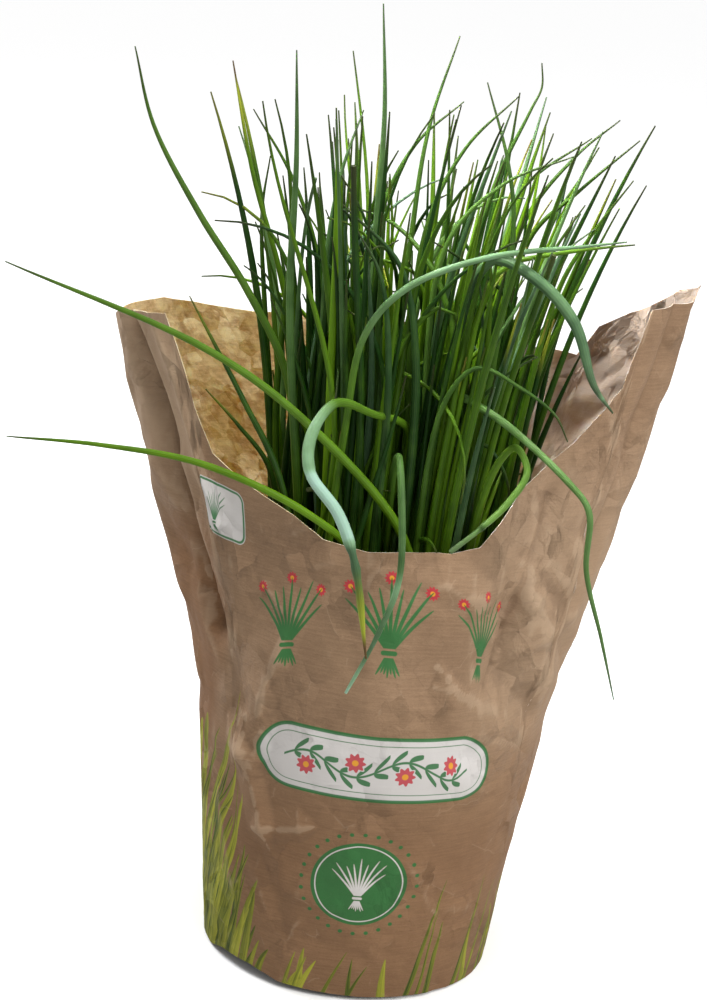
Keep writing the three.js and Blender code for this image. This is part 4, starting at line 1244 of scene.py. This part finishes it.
def drawWildLeaf(tuft, draw, sizes):
    # A leaf that leaves the soil straight, then bends over, some with a kink; draw is a random generator
    turn, share = draw.uniform(0, 2 * np.pi), math.sqrt(draw.uniform())
    x, y = tuftMiddle(tuft)
    reach = leafSettings["rootReach"] * share
    start = np.array([x + reach * math.cos(turn), y + reach * math.sin(turn), leafSettings["rootLevel"]])
    length = draw.uniform(sizes["short"], sizes["long"])
    s = np.linspace(0, 1, sizes["steps"])
    bendFrom = draw.uniform(*sizes["bendFrom"])
    bend = sizes["bend"] * draw.uniform(0.08, 1) ** 2
    heading = draw.uniform(0, 2 * np.pi) + draw.uniform(-1, 1) * sizes["drift"] * s ** 2
    angle = sizes["tilt"] * draw.uniform() * s + bend * np.clip((s - bendFrom) / (1 - bendFrom), 0, 1) ** 1.4
    if draw.uniform() < sizes["kinkChance"]:
        place = draw.uniform(*sizes["kinkPlace"])
        angle += draw.uniform(*sizes["kink"]) * np.clip((s - place) * 16, 0, 1)
    outX, outY = x / sizes["openOut"], y / sizes["openOut"]
    steps = np.stack([
        np.sin(angle) * np.cos(heading) + outX * s, np.sin(angle) * np.sin(heading) + outY * s, np.cos(angle)], 1)
    path = start + np.vstack([np.zeros(3), np.cumsum(steps[:-1], axis=0)]) * length / (sizes["steps"] - 1)
    rise = (path[:, 2] - leafSettings["rootLevel"]) / (leafSettings["fanLevel"] - leafSettings["rootLevel"])
    path[:, 0] += leafSettings["bunchLean"] * np.clip(rise, 0, 1.2) ** 2
    return path, draw.uniform(sizes["thin"], sizes["thick"])


def placeWildLeaves(sizes):
    # (tuft, path, radius) of each; one that would pass through the paper is drawn again
    draw = np.random.default_rng(sizes["seed"])
    placed = []
    for tuft in range(leafSettings["tufts"]):
        for _ in range(sizes["perTuft"]):
            for _ in range(sizes["tries"]):
                path, radius = drawWildLeaf(tuft, draw, sizes)
                low, high = path.min(axis=0), path.max(axis=0)
                inBox = np.all(low > sizes["lowest"]) and np.all(high < sizes["highest"])
                if inBox and np.all(roomInSleeve(*path[4:].T) > radius + 2):
                    placed.append((tuft, path, radius))
                    break
    return placed


massLeaves = placeLeaves()
wildLeaves = placeWildLeaves(wildSettings)
print(f"leaves placed: {len(massLeaves)} upright, {len(wildLeaves)} bent and {len(lookOutLeaves)} that stand out")


# Leaves: their shape and finish

leafLook = {
    "seed": 31, "stations": 28, "perSpan": 9, "sides": 10, "unevenness": 0.09, "stoutness": 1.1,
    "sheathTop": 112, "sheathSwell": 0.5, "tipRadius": 0.22, "tipTaper": 4.2,
    "bluntShare": 0.03, "bluntTip": 0.62,
    "tones": (0.04, 0.16, 0.32, 0.58, 0.95), "toneShares": (0.24, 0.3, 0.22, 0.14, 0.1),
    "marks": ((0.14, 0.05, 0.34), (0.06, 0.3, 0.8)),  # bloom, then dry tip: chance, least and most
    "dark": (0.008, 0.036, 0.003, 1),
    "bright": (0.115, 0.24, 0.004, 1),
    "base": (0.26, 0.33, 0.075, 1),
    # bloom: the leaves' waxy bloom, with a painted sheen of reflected sky
    "bloom": (0.21, 0.36, 0.225, 1),
    "yellow": (0.27, 0.31, 0.025, 1),
    "brown": (0.10, 0.055, 0.022, 1),
    # whitish: painted highlight
    "paintedHighlight": (0.30, 0.46, 0.38, 1),
    "tip": (0.03, 0.03, 0.01, 1),
}


def buildLeafMaterial(look):
    material, tree, shader = newMaterial("chiveLeaf", 0.45, 0.16)
    place = addNode(tree, "ShaderNodeTexCoord").outputs["Object"]
    _, _, height = splitVector(tree, place)
    tone, rise, bloom, dry = (attributeField(tree, name) for name in ("tone", "rise", "bloom", "dry"))
    ringX, ringY, _ = splitVector(tree, attributeField(tree, "ring", "Vector").socket)
    turn = ringX.join("ARCTAN2", ringY)
    patches = noiseField(tree, place, 120, 3.0)
    ribs = (turn * 12.0 + noiseField(tree, place, 300, 2.0) * 3.0).join("SINE")
    # a little darker along the outer half of each leaf: painted shade
    shade = (tone + (patches - 0.5) * 0.5 + ribs * 0.06 - rise.ramp(0.5, 0.9) * 0.1).clamped()
    # waxy bloom, with a painted sheen of reflected sky
    waxAndSheen = bloom * (0.6 + 0.4 * patches.ramp(0.3, 0.7)) * rise.ramp(0.35, 0.6)
    withered = dry * rise.ramp(0.955, 0.985)
    feed(shader.inputs["Base Color"], layered(tree, mixColours(tree, shade, look["dark"], look["bright"]), [
        (height.ramp(140 * mm, 92 * mm) * 0.8, look["base"]),
        (rise.ramp(0.9, 1.0) * 0.75, look["tip"]),
        (waxAndSheen.clamped(), look["bloom"]),
        # whitish where the bloom is strongest: painted highlight
        ((bloom + patches * 0.4).ramp(1.15, 1.6), look["paintedHighlight"]),
        ((dry * rise.ramp(0.86, 0.95)).clamped(), look["yellow"]),
        (withered.clamped(), look["brown"])]))
    feed(shader.inputs["Roughness"], 0.4 + 0.14 * patches + 0.3 * withered)
    letLightThrough(shader, 0.12, (0.0012, 0.002, 0.0005), 1.0)
    addBump(tree, shader, 0.5 + 0.3 * ribs + 0.2 * patches, 0.12 * mm, 0.6)
    return material


def buildLeafTree():
    # Turns lines with a radius at each point into closed round leaves
    tree, given, result = newGeometryTree("leafTubes", {
        "Sides": ("Int", 8), "Unevenness": ("Float", 0.05), "Finish": ("Material", None)})
    curve = addNode(tree, "GeometryNodeMeshToCurve", {"Mesh": given["Geometry"]}).outputs[0]
    spot = tree.nodes.new("GeometryNodeInputPosition").outputs[0]
    lump = addNode(tree, "ShaderNodeTexNoise", {"Vector": spot, "Scale": 140.0, "Detail": 2.0})
    uneven = (Field(lump.outputs["Fac"]) - 0.5) * 2.0 * Field(given["Unevenness"])
    radius = namedNumber(tree, "leafRadius") * (uneven + 1.0)
    curve = addNode(tree, "GeometryNodeSetCurveRadius", {"Curve": curve, "Radius": radius}).outputs[0]
    circle = addNode(tree, "GeometryNodeCurvePrimitiveCircle", {"Resolution": given["Sides"], "Radius": 1.0})
    store = addNode(tree, "GeometryNodeStoreNamedAttribute", {"Geometry": circle.outputs[0], "Name": "ring"},
                    data_type="FLOAT_VECTOR")
    feed(store.inputs["Value"], tree.nodes.new("GeometryNodeInputPosition").outputs[0])
    tube = addNode(tree, "GeometryNodeCurveToMesh", {
        "Curve": curve, "Profile Curve": store.outputs[0], "Fill Caps": True})
    if "Scale" in tube.inputs:
        feed(tube.inputs["Scale"], radius)
    smooth = addNode(tree, "GeometryNodeSetShadeSmooth", {"Geometry": tube.outputs[0]}).outputs[0]
    finishTree(tree, smooth, given["Finish"], result)
    return tree


def swollenBase(radius, z, look):
    # The pale sheath round a leaf's foot
    low = np.clip((look["sheathTop"] - z) / (look["sheathTop"] - leafSettings["rootLevel"]), 0, 1)
    return radius * (1 + look["sheathSwell"] * low ** 2)


def randomLeafColours(look, draw):
    # tone, bloom and dry tip of a leaf of the mass; the bloom is waxy bloom with a painted sheen
    tone = draw.choice(look["tones"], p=look["toneShares"]) + draw.uniform(-0.05, 0.05)
    marks = [float(draw.uniform() < chance) * draw.uniform(least, most) for chance, least, most in look["marks"]]
    return tone, *marks


def leafRadius(size, part, z, look, draw):
    # Nearly even along the leaf, then a short point or, on some, a blunt end
    blunt = draw.uniform() < look["bluntShare"]
    tip = size * look["bluntTip"] if blunt else look["tipRadius"]
    return swollenBase(tapered(size, tip, look["tipTaper"], part) * look["stoutness"], z, look)


# A leaf's line is its places, then radius, part of its length, tone, bloom and dryness at each place

def massLine(leaf, look, draw):
    t = np.linspace(0, 1, look["stations"])
    z = leafSettings["rootLevel"] + (leaf["tip"] - leafSettings["rootLevel"]) * t
    x, y = leafMiddle(leaf, z)
    return np.stack([x, y, z], 1), leafRadius(leaf["radius"], t, z, look, draw), t, *randomLeafColours(look, draw)


def wildLine(path, size, look, draw):
    t = np.linspace(0, 1, len(path))
    return path, leafRadius(size, t, path[:, 2], look, draw), t, *randomLeafColours(look, draw)


def lookOutLine(index, look):
    _, size, tone, bloom, dry, path = lookOutLeaves[index]
    points = curvePoints(path, look["perSpan"])
    lengths = np.concatenate([[0], np.cumsum(np.linalg.norm(np.diff(points, axis=0), axis=1))])
    part = lengths / lengths[-1]
    radius = tapered(size, look["tipRadius"], look["tipTaper"], part)
    place = np.arange(len(points)) / look["perSpan"]
    if index in leafSwell:
        radius *= np.interp(place, *np.transpose(leafSwell[index]))
    if index in leafToneAndSheen:
        at, tones, blooms = np.transpose(leafToneAndSheen[index])
        tone, bloom = np.interp(place, at, tones), np.interp(place, at, blooms)
    else:
        bloom = bloom ** 1.5
    return points, swollenBase(radius, points[:, 2], look), part, tone, bloom, dry


def buildTufts(look, material, tree):
    draw = np.random.default_rng(look["seed"])
    lines = [[] for _ in range(leafSettings["tufts"])]
    for leaf in massLeaves:
        lines[leaf["tuft"]].append(massLine(leaf, look, draw))
    for tuft, path, size in wildLeaves:
        lines[tuft].append(wildLine(path, size, look, draw))
    for index, entry in enumerate(lookOutLeaves):
        lines[entry[0]].append(lookOutLine(index, look))
    for tuft, group in enumerate(lines):
        points = np.concatenate([line[0] for line in group]) * mm
        ends = set(np.cumsum([len(line[0]) for line in group]))
        mesh = bpy.data.meshes.new("leafLines")
        mesh.from_pydata(points.tolist(), [(i - 1, i) for i in range(1, len(points)) if i not in ends], [])
        for part, name in enumerate(("leafRadius", "rise", "tone", "bloom", "dry"), 1):
            values = np.concatenate([np.zeros(len(line[0])) + line[part] for line in group])
            values = values * mm if name == "leafRadius" else values
            mesh.attributes.new(name, "FLOAT", "POINT").data.foreach_set("value", values)
        piece = addToScene(f"chiveTuft{tuft + 1}", mesh)
        bakeTree(piece, tree, {"Sides": look["sides"], "Unevenness": look["unevenness"], "Finish": material})
        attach(piece, rootBody)
        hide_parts(f"chive_tuft_{tuft + 1}")


buildTufts(leafLook, buildLeafMaterial(leafLook), buildLeafTree())
print("leaves are ready")


# Soil: a lumpy bed with crumbs scattered on it

soilSettings = {
    "top": 87.0, "edge": 53.4, "bottom": 2.5, "bottomRadius": 41.4, "rings": 46, "sides": 132,
    "mound": 3.2, "moundReach": 9, "lump": 1.3, "waves": 9, "crumbs": 1500, "crumbSeed": 6, "seed": 12,
    "edgeDrop": 1.6, "dropFrom": 0.93,  # how far the bed sinks at the pot, and from which part of its radius
    "dark": (0.016, 0.010, 0.007, 1), "light": (0.085, 0.055, 0.034, 1), "grit": (0.30, 0.25, 0.19, 1),
}


def buildSoilMaterial(settings):
    material, tree, shader = newMaterial("pottingSoil", 0.95, 0.2)
    place = addNode(tree, "ShaderNodeTexCoord").outputs["Object"]
    clods = noiseField(tree, place, 190, 5.0, 0.65)
    fine = noiseField(tree, place, 900, 3.0, 0.7)
    grit = cellField(tree, place, 260).ramp(0.14, 0.07) * noiseField(tree, place, 75, 1.0).ramp(0.52, 0.62)
    colour = mixColours(tree, (0.6 * clods + 0.4 * fine).ramp(0.36, 0.68), settings["dark"], settings["light"])
    colour = mixColours(tree, grit, colour, settings["grit"])
    feed(shader.inputs["Base Color"], colour)
    feed(shader.inputs["Roughness"], 0.86 + 0.14 * fine)
    addBump(tree, shader, 0.6 * clods + 0.4 * fine, 1.6 * mm, 0.9)
    return material


def buildCrumbTree():
    # Keeps the bed and scatters crumbs over what faces up
    tree, given, result = newGeometryTree("soilCrumbs", {
        "Density": ("Float", 100000.0), "Smallest": ("Float", 0.0006), "Largest": ("Float", 0.0022),
        "Seed": ("Int", 1), "Finish": ("Material", None)})
    normal = tree.nodes.new("GeometryNodeInputNormal").outputs[0]
    facing = splitVector(tree, normal)[2].above(0.5)
    scatter = addNode(tree, "GeometryNodeDistributePointsOnFaces", {
        "Mesh": given["Geometry"], "Selection": facing, "Density": given["Density"], "Seed": given["Seed"]})
    crumb = addNode(tree, "GeometryNodeMeshIcoSphere", {"Radius": 1.0, "Subdivisions": 1}).outputs[0]
    spot = tree.nodes.new("GeometryNodeInputPosition").outputs[0]
    knobs = addNode(tree, "ShaderNodeTexNoise", {"Vector": spot, "Scale": 1.7, "Detail": 3.0}).outputs["Fac"]
    swell = addNode(tree, "ShaderNodeVectorMath", {0: spot, "Scale": Field(knobs) * 1.3 - 0.65}, operation="SCALE")
    rough = addNode(tree, "GeometryNodeSetPosition", {"Geometry": crumb, "Offset": swell.outputs[0]}).outputs[0]
    seed, fullTurn = given["Seed"], 6.3
    size = addNode(tree, "FunctionNodeRandomValue", {2: given["Smallest"], 3: given["Largest"], "Seed": seed})
    turn = addNode(tree, "FunctionNodeRandomValue", {1: (fullTurn,) * 3, "Seed": seed}, data_type="FLOAT_VECTOR")
    crumbs = addNode(tree, "GeometryNodeInstanceOnPoints", {
        "Points": scatter.outputs[0], "Instance": rough, "Rotation": turn.outputs[0], "Scale": size.outputs[1]})
    joined = tree.nodes.new("GeometryNodeJoinGeometry")
    feed(joined.inputs[0], crumbs.outputs[0])
    feed(joined.inputs[0], given["Geometry"])
    finishTree(tree, joined.outputs[0], given["Finish"], result)
    return tree


def latheMesh(name, rings):
    # Closed mesh from rings of (count, 3) places; the first and last rings close to a point
    count = len(rings[0])
    places = [rings[0].mean(axis=0)[None], *rings, rings[-1].mean(axis=0)[None]]
    vertices = np.concatenate(places) * mm
    faces = []
    for j in range(count):
        after = (j + 1) % count
        faces.append((0, 1 + after, 1 + j))
        for i in range(len(rings) - 1):
            low, high = 1 + i * count, 1 + (i + 1) * count
            faces.append((low + j, low + after, high + after, high + j))
        last = 1 + (len(rings) - 1) * count
        faces.append((last + j, last + after, len(vertices) - 1))
    mesh = bpy.data.meshes.new(name)
    mesh.from_pydata(vertices.tolist(), [], faces)
    return mesh


def circleOf(radius, z, sides):
    angle = 2 * np.pi * np.arange(sides) / sides
    return np.stack([radius * np.cos(angle), radius * np.sin(angle), np.broadcast_to(z, sides)], 1)


def buildSoil(settings):
    sides = settings["sides"]
    chance = np.random.default_rng(settings["seed"])
    waves = [(chance.uniform(0.08, 0.5), *chance.uniform(0, 2 * np.pi, 2), chance.uniform(0.15, 0.6))
             for _ in range(settings["waves"])]

    def topHeight(x, y):
        height = np.full(x.shape, settings["top"])
        for pitch, heading, phase, size in waves:
            along = x * np.cos(heading) + y * np.sin(heading)
            height += settings["lump"] * size * np.sin(along * pitch + phase) / 2
        for tuft in range(leafSettings["tufts"]):
            away = np.hypot(x - tuftMiddle(tuft)[0], y - tuftMiddle(tuft)[1])
            height += settings["mound"] * np.exp(-(away / settings["moundReach"]) ** 2)
        return height

    rings = [circleOf(settings["bottomRadius"], settings["bottom"], sides)]
    for part in np.linspace(1, 0.02, settings["rings"]):
        ring = circleOf(settings["edge"] * part, 0.0, sides)
        drop = settings["edgeDrop"] * max(0, part - settings["dropFrom"]) / (1 - settings["dropFrom"])
        ring[:, 2] = topHeight(ring[:, 0], ring[:, 1]) - drop
        rings.append(ring)
    mesh = latheMesh("soilBed", rings)
    mesh.shade_smooth()
    piece = addToScene("soilBed", mesh)
    area = math.pi * (settings["edge"] * mm) ** 2
    bakeTree(piece, buildCrumbTree(), {
        "Density": settings["crumbs"] / area, "Seed": settings["crumbSeed"], "Finish": buildSoilMaterial(settings)})
    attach(piece, rootBody)
    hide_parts("soil")


buildSoil(soilSettings)
print("soil is ready")


# Nursery pot

potSettings = {
    "sides": 160, "height": 98.0, "base": 43.0, "neck": 56.3, "rim": 58.8, "band": 12.0, "wall": 1.1, "floor": 2.0,
    "holes": 8, "holeRadius": 4.5, "holeRing": 35.0, "ribs": 72, "ribHeight": 0.22, "sharpFrom": 32,
    "colour": (0.022, 0.024, 0.023, 1), "worn": (0.06, 0.062, 0.06, 1), "dust": (0.10, 0.08, 0.06, 1),
}


def buildPotMaterial(settings):
    material, tree, shader = newMaterial("nurseryPlastic", 0.5, 0.5)
    place = addNode(tree, "ShaderNodeTexCoord").outputs["Object"]
    _, _, height = splitVector(tree, place)
    scuffs = noiseField(tree, stretch(tree, place, (1, 1, 0.25)), 420, 4.0, 0.7)
    cloud = noiseField(tree, place, 40, 3.0)
    colour = mixColours(tree, scuffs.ramp(0.55, 0.75) * 0.5, settings["colour"], settings["worn"])
    dusty = cloud.ramp(0.5, 0.75) * height.ramp(40 * mm, 95 * mm)
    colour = mixColours(tree, dusty * 0.5, colour, settings["dust"])
    feed(shader.inputs["Base Color"], colour)
    feed(shader.inputs["Roughness"], 0.42 + 0.25 * scuffs)
    addBump(tree, shader, scuffs, 0.15 * mm, 0.5)
    return material


def buildHoleTree():
    # Pegs that cut the drain holes, one at each step round the floor
    tree, given, result = newGeometryTree("drainPegs", {
        "Count": ("Int", 8), "Ring": ("Float", 0.035), "Radius": ("Float", 0.0045), "Depth": ("Float", 0.01),
        "Finish": ("Material", None)})
    ring = addNode(tree, "GeometryNodeMeshCircle", {"Vertices": given["Count"], "Radius": given["Ring"]}).outputs[0]
    points = addNode(tree, "GeometryNodeMeshToPoints", {"Mesh": ring}).outputs[0]
    peg = addNode(tree, "GeometryNodeMeshCylinder", {
        "Vertices": 28, "Radius": given["Radius"], "Depth": given["Depth"]})
    pegs = addNode(tree, "GeometryNodeInstanceOnPoints", {"Points": points, "Instance": peg.outputs[0]}).outputs[0]
    finishTree(tree, pegs, given["Finish"], result)
    return tree


def potRings(settings):
    # From the middle of the underside up the outside, over the rim and down to the middle of the floor
    sides, top, foot = settings["sides"], settings["height"], settings["height"] - settings["band"]
    base, neck, rim, wall = settings["base"], settings["neck"], settings["rim"], settings["wall"]
    halfway, floor = (base + neck) / 2, settings["floor"]
    # radius, height, and 1 where the band has ribs
    profile = [
        (4, 0.6, 0), (base - 7, 0.6, 0), (base - 5.5, 0, 0), (base - 1.2, 0, 0), (base - 0.3, 0.4, 0),
        (base, 1.3, 0), (halfway, foot * 0.5, 0), (neck, foot - 0.6, 0), (neck + 0.2, foot, 0),
        (rim - 0.7, foot + 0.5, 1), (rim - 0.5, foot + 1.2, 1), (rim - 0.1, top - 2.2, 1), (rim, top - 1.2, 0),
        (rim - 0.2, top - 0.4, 0), (rim - 0.7, top, 0), (rim - 1.4, top, 0), (rim - 1.9, top - 0.5, 0),
        (rim - 2.0, foot + 2.4, 0), (neck - wall, foot + 0.4, 0), (halfway - wall, foot * 0.5, 0),
        (base - wall - 0.2, floor + 0.8, 0), (base - wall - 1.2, floor, 0), (4, floor, 0)]
    angle = 2 * np.pi * np.arange(sides) / sides
    ribs = settings["ribHeight"] * (np.cos(angle * settings["ribs"] / 2) > 0)
    rings = []
    for radius, z, ribbed in profile:
        rings.append(circleOf(1, z, sides))
        rings[-1][:, :2] *= (radius + ribs * ribbed)[:, None]
    return rings


def drillHoles(pot, settings, material):
    # Cuts the drain holes out with pegs, which are taken away again
    pegs = addToScene("drainPegs", bpy.data.meshes.new("drainPegs"))
    bakeTree(pegs, buildHoleTree(), {
        "Count": settings["holes"], "Ring": settings["holeRing"] * mm, "Radius": settings["holeRadius"] * mm,
        "Finish": material})
    pegs.data.transform(Matrix.Rotation(math.pi / settings["holes"], 4, "Z"))
    cut = pot.modifiers.new("drainHoles", "BOOLEAN")
    cut.operation = "DIFFERENCE"
    cut.object = pegs
    cut.solver = "EXACT"
    graph = bpy.context.evaluated_depsgraph_get()
    pot.data = bpy.data.meshes.new_from_object(pot.evaluated_get(graph), depsgraph=graph)
    pot.modifiers.remove(cut)
    bpy.data.objects.remove(pegs)


def buildPot(settings):
    pot = addToScene("nurseryPot", latheMesh("nurseryPot", potRings(settings)))
    material = buildPotMaterial(settings)
    drillHoles(pot, settings, material)
    mesh = pot.data
    mesh.materials.clear()
    mesh.materials.append(material)
    mesh.shade_smooth()
    mesh.set_sharp_from_angle(angle=math.radians(settings["sharpFrom"]))
    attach(pot, rootBody)
    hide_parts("pot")


buildPot(potSettings)
print("pot is ready")
